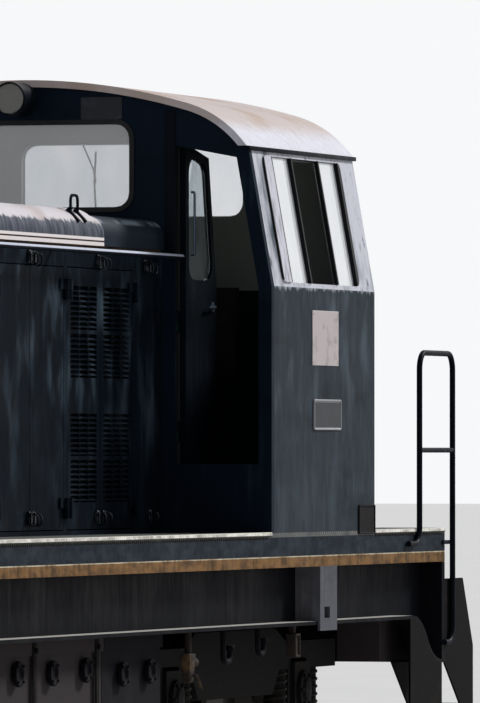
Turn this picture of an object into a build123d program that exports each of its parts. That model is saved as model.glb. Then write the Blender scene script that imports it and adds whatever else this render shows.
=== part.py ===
"""Four-axle diesel-electric road switcher, built as separate pieces in millimetres.

+X points to the end that the cab is near, +Z is up, and -Y is the side with the open cab door.
The origin is midway between the ends, on the centre line, level with the bottom of the wheel flanges.
"""

import os
from math import atan2, cos, radians, sin, tan

from build123d import *

os.makedirs("parts", exist_ok=True)

# Clearances
SEAT = 0.3  # between a piece and what it is seated in
RUNNING = 0.4  # radial play of a shaft or pin
DOOR_GAP = 6.0  # round a door leaf

# Whole locomotive
HEADSTOCK_X = 6750.0  # outer face of a headstock plate
HALF_WIDTH = 1475.0  # cab sides, sills and walkway edges
DECK_Z = 1500.0  # top of the walkway
DECK_T = 25.0

# Underframe
SILL_BASE_Z = 1303.0  # bottom of the deep edge beam
WEB_Y = 1320.0  # inner face of the recessed side web
WEB_T = 20.0
FLANGE_Z = 970.0  # bottom flange of the side web
FLANGE_T = 20.0
APRON_X = 6080.0  # where the bottom flange starts its S-curve down
APRON_Z = 700.0  # its lowest point, at the headstock
HEADSTOCK_T = 60.0
HEADSTOCK_BASE_Z = 700.0
BOLSTER_L = 700.0
BOLSTER_Z = 1230.0
KEEL_Y = 300.0  # inner face of each lengthwise centre beam
KEEL_W = 60.0
KEEL_Z = 1180.0
PIN_R = 150.0  # bogie centre pin
PIN_BASE_Z = 660.0
JACK_X = 4163.0  # slotted jacking bracket on each side web
JACK_L = 328.0
JACK_BASE_Z = 935.0
JACK_OUT = 15.0  # how far it stands out of the sill
JACK_SLOT_START = 81.0  # from the bracket's start
JACK_SLOT_L = 106.0
JACK_SLOT_Z = 1007.0
JACK_SLOT_H = 64.0

# Bogies
PIVOT_X = 3800.0
HALF_WHEELBASE = 1200.0
SIDE_FRAME_Y = 1000.0  # inner face of a side frame
SIDE_FRAME_T = 100.0
BOGIE_HALF = 1930.0
BOGIE_TOP_Z = 940.0
BOGIE_END_TOP_Z = 860.0
BOGIE_END_BASE_Z = 700.0
BOGIE_BELLY_Z = 560.0
TOP_SLOPE_START = 450.0  # where the frame's top starts to drop, back from the axle
TOP_SLOPE_END = 250.0
BELLY_SLOPE_START = 20.0  # where its belly starts to drop, back from the spring
BELLY_SLOPE_END = 140.0
FRAME_ROUND = 70.0
HORN_HALF = 150.0  # half the gap between two horn cheeks
HORN_T = 60.0
HORN_BASE_Z = 470.0
HORN_TOP_Z = 760.0
TRANSOM_HALF = 300.0
TRANSOM_BASE_Z = 640.0
TRANSOM_TOP_Z = 900.0
END_TRANSOM_L = 80.0
SPRING_R = 62.0
SPRING_REACH = 300.0  # from the axle to a spring, along the frame
SPRING_BASE_Z = 450.0
WING_T = 50.0
WING_L = 370.0
AXLEBOX_TOP_Z = 740.0
AXLEBOX_OUT = 25.0  # how far an axlebox stands proud of the side frame
MOTOR_HALF = 600.0
MOTOR_L = 720.0
MOTOR_BASE_Z = 330.0
MOTOR_TOP_Z = 850.0

# Wheelsets
TREAD_R = 550.0
FLANGE_R = 578.0
BACK_Y = 680.0  # back face of a wheel
TYRE_W = 135.0
TREAD_TAPER = 3.0
FLANGE_THICK = 32.0
FLANGE_TIP_IN = 10.0  # from the back face to the flange's rounded tip
FLANGE_TIP_OUT = 21.0
RIM_T = 75.0
DISC_T = 34.0
HUB_R = 135.0
HUB_OUT = 40.0  # how far the hub stands out of the rim's outer face
HUB_IN = 20.0  # and of its back
DISC_FILLET = 40.0  # slope between the disc and the hub or rim
AXLE_R = 85.0
JOURNAL_R = 65.0
JOURNAL_START = 935.0
JOURNAL_END = 1060.0

# Cab
CAB_X = 3280.0  # face of the wall over the long hood
CAB_LENGTH = 2010.0
CAB_WALL = 50.0
WAIST_Z = 2890.0  # where the sides start to lean in
EAVE_Y = 1335.0
EAVE_Z = 3680.0
SHOULDER_Y = 991.0  # where the flat roof arc meets the tight one
SHOULDER_Z = 3921.0
CROWN_Z = 4063.0
ROOF_T = 40.0
ROOF_LIP = 30.0
CAB_FLOOR_Z = 1870.0
FLOOR_T = 40.0
JOIST_T = 60.0
JOIST_PITCH = 1100.0
END_WINDOW_Z = 3334.0
WINDOW_CORNER = 85.0
SIDE_WINDOW_RISE = 26.0  # above the waist, measured up the lean
SIDE_WINDOW_H = 726.0
SIDE_CORNER = 45.0
SIDE_WINDOW_X = 220.0  # where it starts along the cab
SIDE_WINDOW_L = 1480.0
SIDE_STILES = (  # start along the window, width
    (0.0, 165.0),
    (525.0, 20.0),
    (1045.0, 20.0),
    (1435.0, 45.0),
)
STILE_T = 24.0
OPEN_PANE = 1  # the middle pane has slid open
GLASS_T = 8.0

# Cab doors
DOORWAY_Y = 890.0  # hinge side of a doorway
DOOR_POST = 60.0  # width of the corner post outside it
DOOR_TOP_IN_Z = 3727.0  # top of a doorway at its hinge side
DOOR_TOP_OUT_Z = 3630.0  # and at its outer side
LEAF_T = 36.0
DOOR_WINDOW_Z = 2930.0
DOOR_WINDOW_EDGE = 50.0
DOOR_WINDOW_CORNER = 90.0
DOOR_SWING = 88.0
DOOR_HEADROOM = 22.0  # what the leaf's top is lowered by at the hinges, to clear the sloped lintel
DOOR_STOP_T = 8.0
DOOR_STOP_LAP = 12.0  # how far the stops lap over the closed leaf
CAB_HINGE_IN = 200.0  # from the floor or the waist to a hinge

# Hinges
HINGE_OFF = 19.0  # from the leaf's face to the hinge axis
BARREL_R = 14.0
BARREL_H = 55.0
HINGE_PIN_R = 6.0
STRAP_T = 12.0
STRAP_L = 70.0
STRAP_BACK = 26.0
KNUCKLE_GAP = 2.0

# Long hood
HOOD_HALF = 825.0
HOOD_FRONT_X = -5650.0
HOOD_WALL = 40.0
HOOD_TOP_Z = 3093.0
FILLER = 500.0  # fixed strip next to the cab
BAY = 1200.0
BAYS = 5
DOOR_BAYS = 2
HOOD_POST = 60.0
HOOD_SILL = 26.0  # under the doors
HOOD_DOOR_TOP_Z = 2970.0
LOWER_HINGE_Z = 1650.0
UPPER_HINGE_Z = 2845.0
LOUVRE_EDGE = 55.0
LOUVRES = (  # base, height of each louvred window in a leaf
    (1679.0, 233.0),
    (1934.0, 233.0),
    (2363.0, 241.0),
    (2626.0, 241.0),
)
MULLIONS = 2  # thin uprights across the blades of each window
MULLION_W = 6.0
BLADE_PITCH = 28.0
BLADE_T = 6.0
BLADE_DEPTH = 30.0
BLADE_DROP = 20.0
SEAM_W = 8.0
SEAM_D = 8.0

# Radiator compartment at the hood's far end
GRILLE_L = 1020.0
GRILLE_GAP = 120.0
GRILLE_BASE_Z = 1750.0
GRILLE_H = 1130.0
FRONT_GRILLE_HALF = 560.0
GRILLE_T = 30.0
GRILLE_PITCH = 75.0
CORE_T = 120.0
CORE_GAP = 20.0

# Hood roof
ROOF_PROUD = 18.0
ROOF_ROUND = 160.0
ROOF_TOP_Z = 3300.0
LOW_ROOF_TOP_Z = 3265.0
LOW_ROOF_ROUND = 112.0
LOW_ROOF_L = 1080.0
HOOD_ROOF_T = 20.0
ROOF_END_ROUND = 110.0
LOW_END_ROUND = 40.0

# Fan in the hood roof
FAN_X = -4430.0
FAN_HOLE_R = 470.0
FAN_R = 440.0
FAN_HUB_R = 120.0
FAN_HUB_H = 110.0
FAN_BLADES = 8
FAN_BLADE_T = 8.0
FAN_BLADE_W = 150.0
FAN_PITCH = 28.0
FAN_TOP_Z = 3230.0
FAN_SHAFT_R = 30.0
FAN_GAP = 6.0  # under the collar that holds the shaft
FAN_ROOT = 12.0  # how far a blade is let into the hub
GUARD_RIM_W = 40.0
GUARD_RIM_T = 12.0
GUARD_BARS = 9
GUARD_BAR_W = 14.0
COLLAR_H = 60.0

# Machinery
ENGINE_X = -1750.0
ENGINE_L = 3700.0
ENGINE_HALF = 560.0
ENGINE_H = 1250.0
ENGINE_CHAMFER = 180.0
STACK_X = -300.0
STACK_L = 420.0
STACK_HALF = 130.0
STACK_TOP_Z = 3480.0
STACK_WALL = 12.0

# Short hood behind the cab
SHORT_HOOD_L = 810.0

# Boxes and tanks under the deck
BOX_OUT_Y = 1325.0
BOX_TOP_Z = 950.0
BOX_BASE_Z = 330.0
TANK_START_X = -1720.0
TANK_END_X = 700.0
BATTERY_END_X = 1720.0
BOX_GAP = 10.0
BOX_CORNER = 60.0
SANDBOX_X = 5900.0
SANDBOX_L = 720.0
SANDBOX_W = 260.0
SANDBOX_BASE_Z = 720.0
SANDBOX_TOP_Z = 1280.0

# Ends
BUFFER_Y = 875.0
BUFFER_Z = 1078.0
BUFFER_REACH = 620.0
BUFFER_BASE = 320.0
BUFFER_BASE_T = 40.0
CASING_R = 150.0
CASING_L = 330.0
PLUNGER_R = 110.0
BUFFER_HEAD_R = 225.0
BUFFER_HEAD_T = 45.0
BUFFER_FACE_R = 170.0
BUFFER_BEVEL = 15.0
HOOK_Z = 1050.0
HOOK_REACH = 345.0
HOOK_T = 60.0
HOOK_SHANK_H = 110.0
HOOK_R = 105.0
HOOK_MOUTH_R = 44.0
HOOK_MOUTH_W = 72.0
HOOK_MOUTH_X = 20.0  # from the ring's middle to the mouth's middle, towards the headstock
STEP_IN_Y = 1135.0
STEP_PLATE_T = 12.0
STEP_TOP_Z = 1200.0
STEP_REACH = 390.0
STEP_LOW_REACH = 610.0
STEP_BASE_Z = 400.0
STEP_KNEE_Z = 790.0
STEP_TREADS = (420.0, 755.0, 1090.0)
TREAD_T = 20.0
WELL_X = 6030.0  # start of the plate that closes the step well's side

# Handrails
RAIL_R = 17.0
RAIL_TOP_Z = 2545.0
RUNG_Z = 1968.0
RUNG_R = 15.0
POST_IN_X = 6159.0
POST_OUT_X = 6858.0
FOOT_X = 5930.0  # the inner post's foot runs back along the sill
FOOT_Z = 1415.0
FOOT_LOW_Z = 820.0  # the outer post's foot runs back to the headstock
RAIL_BEND = 100.0
CLAMP_Z = 1418.0
CLAMP_H = 24.0
CLAMP_T = 12.0
HOOD_RAIL_Z = 3055.0
HOOD_RAIL_OFF = 120.0
HOOD_RAIL_R = 15.0
HOOD_RAIL_START_X = -5275.0
BRACKET_X = 2830.0  # the one next to the cab
BRACKET_PITCH = 1500.0
BRACKET_COUNT = 6
BRACKET_T = 15.0

# Lamps
CAB_LAMP_R = 95.0
CAB_LAMP_Z = 3950.0
CAB_LAMP_L = 215.0
CAB_LAMP_NECK = 35.0  # carries it clear of the roof's lip
NECK_R = 60.0
HEAD_LAMP_R = 95.0
HEAD_LAMP_Z = 2985.0
HEAD_LAMP_L = 110.0
MARKER_R = 85.0
MARKER_Y = 1180.0
MARKER_Z = 1310.0
MARKER_L = 60.0
LENS_T = 10.0
LENS_DEPTH = 20.0  # of the recess that a lens lies in

# Cab furniture
DESK_X = 3900.0
DESK_L = 520.0
DESK_W = 1000.0
DESK_Y = 150.0
DESK_H = 950.0
DESK_SLOPE = 160.0
DESK_TOP_L = 175.0
SEAT_X = 4650.0
SEAT_Y = 560.0
SEAT_W = 440.0
SEAT_H = 480.0
SEAT_BACK_H = 560.0
SEAT_PAD_T = 90.0
PEDESTAL_R = 60.0

# Worked out from the sizes above
AXLE_Z = FLANGE_R
CAB_END_X = CAB_X + CAB_LENGTH
LEAN = atan2(HALF_WIDTH - EAVE_Y, EAVE_Z - WAIST_Z)
RAIL_Y = HALF_WIDTH + RAIL_R + SEAT
RADIATOR_END_X = CAB_X - FILLER - BAYS * BAY
CAB_HINGES = (CAB_FLOOR_Z + CAB_HINGE_IN, WAIST_Z - CAB_HINGE_IN)


def keep(piece, name):
    """Labels a finished piece and writes it to its own file."""
    piece.part.label = name
    export_step(piece.part, f"parts/{name}.step")


def block(x0, x1, y0, y1, z0, z1, mode=Mode.ADD):
    """Adds a straight block between two corners to the open part."""
    with Locations(((x0 + x1) / 2, (y0 + y1) / 2, (z0 + z1) / 2)):
        Box(abs(x1 - x0), abs(y1 - y0), abs(z1 - z0), mode=mode)


def upright(x, y, z0, z1, radius, mode=Mode.ADD):
    """Adds an upright round bar to the open part."""
    with Locations((x, y, (z0 + z1) / 2)):
        Cylinder(radius, z1 - z0, mode=mode)


def side_plate(points, y0, y1, mode=Mode.ADD):
    """Adds a plate between y0 and y1, cut to an outline of (x, z) points."""
    with BuildSketch(Plane.XZ.offset(-y0)) as outline:
        with BuildLine():
            Polyline(*points, close=True)
        make_face()
    extrude(outline.sketch, amount=y0 - y1, mode=mode)


def tube(points, bend, radius):
    """Adds a round tube along straight runs joined by bends."""
    with BuildLine() as path:
        if len(points) > 2:
            FilletPolyline(*points, radius=bend)
        else:
            Line(*points)
    with BuildSketch(Plane(origin=path.line @ 0, z_dir=path.line % 0)) as ring:
        Circle(radius)
    sweep(ring.sketch, path=path.line)


# Side sills: a deep edge beam over a recessed web, with a flange that drops in an S-curve at each end
sill_end = HEADSTOCK_X - HEADSTOCK_T
deck_base = DECK_Z - DECK_T
web_out = WEB_Y + WEB_T
flange_top = FLANGE_Z + FLANGE_T
straight_end = APRON_X - SEAT


def apron_curve(lift):
    """Draws the flange's S-curve in the open sketch, raised by lift, and returns its two arcs."""
    middle = ((APRON_X + sill_end) / 2, (FLANGE_Z + APRON_Z) / 2 + lift)
    high = TangentArc((APRON_X, FLANGE_Z + lift), middle, tangent=(1, 0))
    low = TangentArc(middle, (sill_end, APRON_Z + lift), tangent=high % 1)
    return high, low


with BuildPart() as side_sills:
    with BuildSketch(Plane.XZ.offset(-WEB_Y)) as apron:
        with BuildLine():
            high, low = apron_curve(FLANGE_T + SEAT)
            Polyline(
                low @ 1,
                (sill_end, SILL_BASE_Z - SEAT),
                (APRON_X, SILL_BASE_Z - SEAT),
                high @ 0,
            )
        make_face()
    extrude(amount=-WEB_T)
    with BuildSketch(Plane.XZ.offset(-WEB_Y)) as apron_flange:
        with BuildLine():
            top_high, top_low = apron_curve(FLANGE_T)
            base_high, base_low = apron_curve(0)
            Line(top_low @ 1, base_low @ 1)
            Line(top_high @ 0, base_high @ 0)
        make_face()
    extrude(amount=WEB_Y - HALF_WIDTH)
    mirror(about=Plane.YZ)
    block(-sill_end, sill_end, WEB_Y, HALF_WIDTH, SILL_BASE_Z, deck_base)
    block(-straight_end, straight_end, WEB_Y, web_out, flange_top + SEAT, SILL_BASE_Z - SEAT)
    block(-straight_end, straight_end, WEB_Y, HALF_WIDTH, FLANGE_Z, flange_top)
    mirror(about=Plane.XZ)
keep(side_sills, "side_sills")

# Headstocks: the heavy plates across both ends
with BuildPart() as headstocks:
    block(sill_end, HEADSTOCK_X, -HALF_WIDTH, HALF_WIDTH, HEADSTOCK_BASE_Z, deck_base)
    mirror(about=Plane.YZ)
keep(headstocks, "headstocks")

# Centre frame: two lengthwise beams, with cross members and the bogies' bolsters fitted between them
keel_out = KEEL_Y + KEEL_W
cross_spans = ((0, KEEL_Y), (keel_out, WEB_Y))  # inner and outer end of each half cross member
with BuildPart() as keel_beams:
    for side in (1, -1):
        block(-sill_end, sill_end, side * KEEL_Y, side * keel_out, KEEL_Z, deck_base)
keep(keel_beams, "keel_beams")

with BuildPart() as cross_members:
    for member_x in (KEEL_W, TANK_END_X, BATTERY_END_X):
        for span_start, span_end in cross_spans:
            block(member_x - KEEL_W, member_x, span_start, span_end, KEEL_Z, deck_base)
    mirror(about=Plane.XZ)
    mirror(about=Plane.YZ)
keep(cross_members, "cross_members")

with BuildPart() as bolsters:
    for span_start, span_end in cross_spans:
        block(
            PIVOT_X - BOLSTER_L / 2,
            PIVOT_X + BOLSTER_L / 2,
            span_start,
            span_end,
            BOLSTER_Z,
            deck_base,
        )
    mirror(about=Plane.XZ)
    upright(PIVOT_X, 0, PIN_BASE_Z, BOLSTER_Z, PIN_R)
    mirror(about=Plane.YZ)
keep(bolsters, "bolsters")

# Jacking brackets: a slotted block on each side web, with a lip that hangs over the flange's edge
jack_end = JACK_X + JACK_L
slot_start = JACK_X + JACK_SLOT_START
slot_end = slot_start + JACK_SLOT_L
jack_face = HALF_WIDTH + JACK_OUT
jack_base = flange_top + SEAT
jack_blocks = (  # start, end, inner face, base, top
    (JACK_X, slot_start, web_out, jack_base, SILL_BASE_Z),
    (slot_end, jack_end, web_out, jack_base, SILL_BASE_Z),
    (slot_start + SEAT, slot_end - SEAT, web_out, JACK_SLOT_Z + JACK_SLOT_H, SILL_BASE_Z),
    (slot_start + SEAT, slot_end - SEAT, web_out, jack_base, JACK_SLOT_Z),
    (JACK_X, jack_end, HALF_WIDTH + SEAT, JACK_BASE_Z, jack_base - SEAT),
)
with BuildPart() as jacking_brackets:
    for block_start, block_end, inner_face, base, top in jack_blocks:
        block(block_start, block_end, inner_face, jack_face, base, top)
    mirror(about=Plane.XZ)
    mirror(about=Plane.YZ)
keep(jacking_brackets, "jacking_brackets")

# Deck: one plate from headstock to headstock
with BuildPart() as deck:
    block(-HEADSTOCK_X, HEADSTOCK_X, -HALF_WIDTH, HALF_WIDTH, deck_base, DECK_Z)
keep(deck, "deck")

# Boxes under the deck: the fuel tank and the battery box, hung from the side webs
box_spans = (  # name, start, end
    ("fuel_tank", TANK_START_X, TANK_END_X),
    ("battery_box", TANK_END_X + BOX_GAP, BATTERY_END_X),
)
for box_name, box_start, box_end in box_spans:
    with BuildPart() as slung_box:
        with BuildSketch(Plane.YZ.offset(box_start)) as box_section:
            with Locations((0, (BOX_BASE_Z + BOX_TOP_Z) / 2)):
                RectangleRounded(2 * BOX_OUT_Y, BOX_TOP_Z - BOX_BASE_Z, BOX_CORNER)
        extrude(amount=box_end - box_start)
        for hanger_y in (-WEB_Y - WEB_T, WEB_Y):
            block(box_start, box_end, hanger_y, hanger_y + WEB_T, BOX_TOP_Z - BOX_CORNER, FLANGE_Z)
        for hanger_y in (-KEEL_Y - KEEL_W, KEEL_Y):
            block(box_start, box_end, hanger_y, hanger_y + KEEL_W, BOX_TOP_Z, KEEL_Z)
    keep(slung_box, box_name)

# Sandboxes behind the headstocks
with BuildPart() as sandboxes:
    for end in (1, -1):
        for side in (1, -1):
            block(
                end * SANDBOX_X,
                end * (SANDBOX_X + SANDBOX_L),
                side * (WEB_Y - SANDBOX_W),
                side * WEB_Y,
                SANDBOX_BASE_Z,
                SANDBOX_TOP_Z,
            )
keep(sandboxes, "sandboxes")

# Buffers: base plate, casing, plunger and a flat-faced head with a bevelled rim
head_back = BUFFER_REACH - BUFFER_HEAD_T
buffer_profile = (  # distance from the headstock, radius
    (BUFFER_BASE_T, 0),
    (BUFFER_BASE_T, CASING_R),
    (CASING_L, CASING_R),
    (CASING_L, PLUNGER_R),
    (head_back, PLUNGER_R),
    (head_back, BUFFER_HEAD_R),
    (BUFFER_REACH - BUFFER_BEVEL, BUFFER_HEAD_R),
    (BUFFER_REACH, BUFFER_FACE_R),
    (BUFFER_REACH, 0),
)
with BuildPart() as buffers:
    for side in (1, -1):
        axis_start = (HEADSTOCK_X, side * BUFFER_Y, BUFFER_Z)
        with Locations((HEADSTOCK_X + BUFFER_BASE_T / 2, side * BUFFER_Y, BUFFER_Z)):
            Box(BUFFER_BASE_T, BUFFER_BASE, BUFFER_BASE)
        with BuildSketch(Plane(origin=axis_start, x_dir=(1, 0, 0), z_dir=(0, -1, 0))):
            with BuildLine():
                Polyline(*buffer_profile, close=True)
            make_face()
        revolve(axis=Axis(axis_start, (1, 0, 0)))
    mirror(about=Plane.YZ)
keep(buffers, "buffers")

# Draw hooks: a forged hook on a shank through each headstock
with BuildPart() as draw_hooks:
    ring_x = HEADSTOCK_X + HOOK_REACH - HOOK_R
    with BuildSketch(Plane.XZ.offset(HOOK_T / 2)):
        with Locations(((HEADSTOCK_X + ring_x) / 2, HOOK_Z)):
            Rectangle(ring_x - HEADSTOCK_X, HOOK_SHANK_H)
        with Locations((ring_x, HOOK_Z)):
            Circle(HOOK_R)
            Circle(HOOK_MOUTH_R, mode=Mode.SUBTRACT)
        with Locations((ring_x - HOOK_MOUTH_X, HOOK_Z + HOOK_R / 2)):
            Rectangle(HOOK_MOUTH_W, HOOK_R, mode=Mode.SUBTRACT)
    extrude(amount=-HOOK_T)
    with Locations((HEADSTOCK_X + BUFFER_BASE_T / 2, 0, HOOK_Z)):
        Box(BUFFER_BASE_T, BUFFER_BASE, BUFFER_BASE)
    mirror(about=Plane.YZ)
keep(draw_hooks, "draw_hooks")

# End steps: two plates and three treads at each corner, and the plate beside the step well
step_outline = (
    (HEADSTOCK_X, STEP_TOP_Z),
    (HEADSTOCK_X + STEP_REACH, STEP_TOP_Z),
    (HEADSTOCK_X + STEP_LOW_REACH, STEP_KNEE_Z),
    (HEADSTOCK_X + STEP_LOW_REACH, STEP_BASE_Z),
    (HEADSTOCK_X + STEP_REACH, STEP_BASE_Z),
    (HEADSTOCK_X, HEADSTOCK_BASE_Z),
)
with BuildPart() as end_steps:
    for plate_y in (STEP_IN_Y, HALF_WIDTH - STEP_PLATE_T):
        side_plate(step_outline, plate_y, plate_y + STEP_PLATE_T)
    for tread_z in STEP_TREADS:
        tread_start = HEADSTOCK_X if tread_z > HEADSTOCK_BASE_Z else HEADSTOCK_X + STEP_REACH
        tread_end = HEADSTOCK_X + (STEP_REACH if tread_z > STEP_KNEE_Z else STEP_LOW_REACH)
        block(tread_start, tread_end, STEP_IN_Y, HALF_WIDTH, tread_z, tread_z + TREAD_T)
    with BuildSketch(Plane.XZ.offset(STEP_PLATE_T - HALF_WIDTH)) as well_side:
        with BuildLine():
            high, low = apron_curve(-SEAT)
            Polyline(
                low @ 1,
                (sill_end, STEP_BASE_Z),
                (WELL_X, STEP_BASE_Z),
                (WELL_X, FLANGE_Z - SEAT),
                high @ 0,
            )
        make_face()
    extrude(amount=-STEP_PLATE_T)
    mirror(about=Plane.XZ)
    mirror(about=Plane.YZ)
keep(end_steps, "end_steps")

# End handrails: a hoop with one rung at each corner, clamped to the headstock
with BuildPart() as end_handrails:
    tube(
        (
            (FOOT_X, RAIL_Y, FOOT_Z),
            (POST_IN_X, RAIL_Y, FOOT_Z),
            (POST_IN_X, RAIL_Y, RAIL_TOP_Z),
            (POST_OUT_X, RAIL_Y, RAIL_TOP_Z),
            (POST_OUT_X, RAIL_Y, FOOT_LOW_Z),
            (sill_end, RAIL_Y, FOOT_LOW_Z),
        ),
        RAIL_BEND,
        RAIL_R,
    )
    tube(((POST_IN_X, RAIL_Y, RUNG_Z), (POST_OUT_X, RAIL_Y, RUNG_Z)), RAIL_BEND, RUNG_R)
    block(
        sill_end,
        POST_OUT_X - RAIL_R / 2,
        HALF_WIDTH + SEAT,
        HALF_WIDTH + SEAT + CLAMP_T,
        CLAMP_Z - CLAMP_H / 2,
        CLAMP_Z + CLAMP_H / 2,
    )
    mirror(about=Plane.XZ)
    mirror(about=Plane.YZ)
keep(end_handrails, "end_handrails")

# Long hood sides: panels with rails over and under each door or grille opening between them
hood_door_base = DECK_Z + HOOD_SILL
bay_starts = [CAB_X - FILLER - BAY * (bay + 1) for bay in range(BAYS)]
grille_starts = [RADIATOR_END_X - (GRILLE_L + GRILLE_GAP) * (place + 1) for place in range(2)]
hood_openings = [  # start, end, base, top
    (grille_x, grille_x + GRILLE_L, GRILLE_BASE_Z, GRILLE_BASE_Z + GRILLE_H)
    for grille_x in reversed(grille_starts)
]
hood_openings += [
    (bay_x + HOOD_POST / 2, bay_x + BAY - HOOD_POST / 2, hood_door_base, HOOD_DOOR_TOP_Z)
    for bay_x in reversed(bay_starts[:DOOR_BAYS])
]
panel_starts = [HOOD_FRONT_X] + [opening[1] for opening in hood_openings]
panel_ends = [opening[0] for opening in hood_openings] + [CAB_X]
hood_in = HOOD_HALF - HOOD_WALL

for side, side_name in ((-1, "right"), (1, "left")):
    with BuildPart() as hood_side:
        for panel_start, panel_end in zip(panel_starts, panel_ends):
            block(panel_start, panel_end, side * hood_in, side * HOOD_HALF, DECK_Z, HOOD_TOP_Z)
        for opening_start, opening_end, base, top in hood_openings:
            for low, high in ((DECK_Z, base), (top, HOOD_TOP_Z)):
                block(
                    opening_start + SEAT,
                    opening_end - SEAT,
                    side * hood_in,
                    side * HOOD_HALF,
                    low,
                    high,
                )
        for bay_x in bay_starts[DOOR_BAYS:]:
            for seam_x in (bay_x + BAY / 2, bay_x):
                block(
                    seam_x - SEAM_W / 2,
                    seam_x + SEAM_W / 2,
                    side * (HOOD_HALF - SEAM_D),
                    side * HOOD_HALF,
                    hood_door_base,
                    HOOD_DOOR_TOP_Z,
                    mode=Mode.SUBTRACT,
                )
        for bay_x in bay_starts[:DOOR_BAYS]:
            for jamb_x, inward in ((bay_x + HOOD_POST / 2, 1), (bay_x + BAY - HOOD_POST / 2, -1)):
                axis_y = side * (HOOD_HALF + HINGE_OFF)
                for hinge_z in (LOWER_HINGE_Z, UPPER_HINGE_Z):
                    low_z = hinge_z - KNUCKLE_GAP - BARREL_H
                    upright(jamb_x, axis_y, low_z, hinge_z - KNUCKLE_GAP, BARREL_R)
                    upright(jamb_x, axis_y, low_z, hinge_z + BARREL_H, HINGE_PIN_R)
                    block(
                        jamb_x - inward * STRAP_BACK,
                        jamb_x - inward * KNUCKLE_GAP,
                        side * HOOD_HALF,
                        side * (HOOD_HALF + STRAP_T),
                        low_z,
                        hinge_z - KNUCKLE_GAP,
                    )
    keep(hood_side, f"hood_side_{side_name}")

# Hood ends: the wall against the cab, and the far one with its grille opening
end_half = hood_in - SEAT
with BuildPart() as hood_end_walls:
    block(CAB_X - HOOD_WALL, CAB_X, -end_half, end_half, DECK_Z, HOOD_TOP_Z)
    for side in (1, -1):
        block(
            HOOD_FRONT_X,
            HOOD_FRONT_X + HOOD_WALL,
            side * FRONT_GRILLE_HALF,
            side * end_half,
            DECK_Z,
            HOOD_TOP_Z,
        )
    for low, high in ((DECK_Z, GRILLE_BASE_Z), (GRILLE_BASE_Z + GRILLE_H, HOOD_TOP_Z)):
        block(
            HOOD_FRONT_X,
            HOOD_FRONT_X + HOOD_WALL,
            SEAT - FRONT_GRILLE_HALF,
            FRONT_GRILLE_HALF - SEAT,
            low,
            high,
        )
keep(hood_end_walls, "hood_end_walls")

# Hood doors: the pair next to the cab is louvred, the next pair is plain
leaf_w = (BAY - HOOD_POST - 3 * DOOR_GAP) / 2
leaf_base = hood_door_base + DOOR_GAP
leaf_top = HOOD_DOOR_TOP_Z - DOOR_GAP


def blades(base, height, pitch):
    """Heights of the blades that fill a louvred window."""
    count = int((height - BLADE_DROP) // pitch)
    spare = height - BLADE_DROP - count * pitch
    return [base + spare / 2 + pitch * n for n in range(count + 1)]


for bay, bay_x in enumerate(bay_starts[:DOOR_BAYS]):
    leaf_edges = (  # letter, place of the jamb, direction of the leaf from it
        ("a", bay_x + BAY - HOOD_POST / 2, -1),
        ("b", bay_x + HOOD_POST / 2, 1),
    )
    for edge, jamb_x, inward in leaf_edges:
        for side, side_name in ((-1, "right"), (1, "left")):
            hinge_edge = jamb_x + inward * DOOR_GAP
            free_edge = hinge_edge + inward * leaf_w
            inner_y = HOOD_HALF - LEAF_T
            axis_y = side * (HOOD_HALF + HINGE_OFF)
            with BuildPart() as hood_door:
                block(hinge_edge, free_edge, side * inner_y, side * HOOD_HALF, leaf_base, leaf_top)
                if bay == 0:
                    window_x = hinge_edge + inward * LOUVRE_EDGE
                    window_end = free_edge - inward * LOUVRE_EDGE
                    for louvre_z, louvre_h in LOUVRES:
                        block(
                            window_x,
                            window_end,
                            side * inner_y,
                            side * HOOD_HALF,
                            louvre_z,
                            louvre_z + louvre_h,
                            mode=Mode.SUBTRACT,
                        )
                    blade_x = min(window_x, window_end)
                    blade_w = abs(window_end - window_x)
                    for louvre_z, louvre_h in LOUVRES:
                        with BuildSketch(Plane.YZ.offset(blade_x)) as blade_ends:
                            for blade_z in blades(louvre_z, louvre_h, BLADE_PITCH):
                                with BuildLine():
                                    Polyline(
                                        (side * HOOD_HALF, blade_z),
                                        (side * HOOD_HALF, blade_z + BLADE_T),
                                        (side * (HOOD_HALF - BLADE_DEPTH), blade_z + BLADE_DROP),
                                        (side * (HOOD_HALF - BLADE_DEPTH), blade_z + BLADE_DROP - BLADE_T),
                                        close=True,
                                    )
                                make_face()
                        extrude(amount=blade_w)
                        for number in range(MULLIONS):
                            mullion_x = blade_x + blade_w * (number + 1) / (MULLIONS + 1)
                            block(
                                mullion_x - MULLION_W / 2,
                                mullion_x + MULLION_W / 2,
                                side * (HOOD_HALF - BLADE_DEPTH),
                                side * HOOD_HALF,
                                louvre_z,
                                louvre_z + louvre_h,
                            )
                for hinge_z in (LOWER_HINGE_Z, UPPER_HINGE_Z):
                    upright(jamb_x, axis_y, hinge_z, hinge_z + BARREL_H, BARREL_R)
                    block(
                        jamb_x + inward * (DOOR_GAP + KNUCKLE_GAP),
                        jamb_x + inward * (DOOR_GAP + STRAP_L),
                        side * HOOD_HALF,
                        side * (HOOD_HALF + STRAP_T),
                        hinge_z,
                        hinge_z + BARREL_H,
                    )
                    upright(
                        jamb_x,
                        axis_y,
                        hinge_z,
                        hinge_z + BARREL_H,
                        HINGE_PIN_R + RUNNING,
                        mode=Mode.SUBTRACT,
                    )
            keep(hood_door, f"hood_door_{side_name}_{bay + 1}{edge}")

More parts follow.
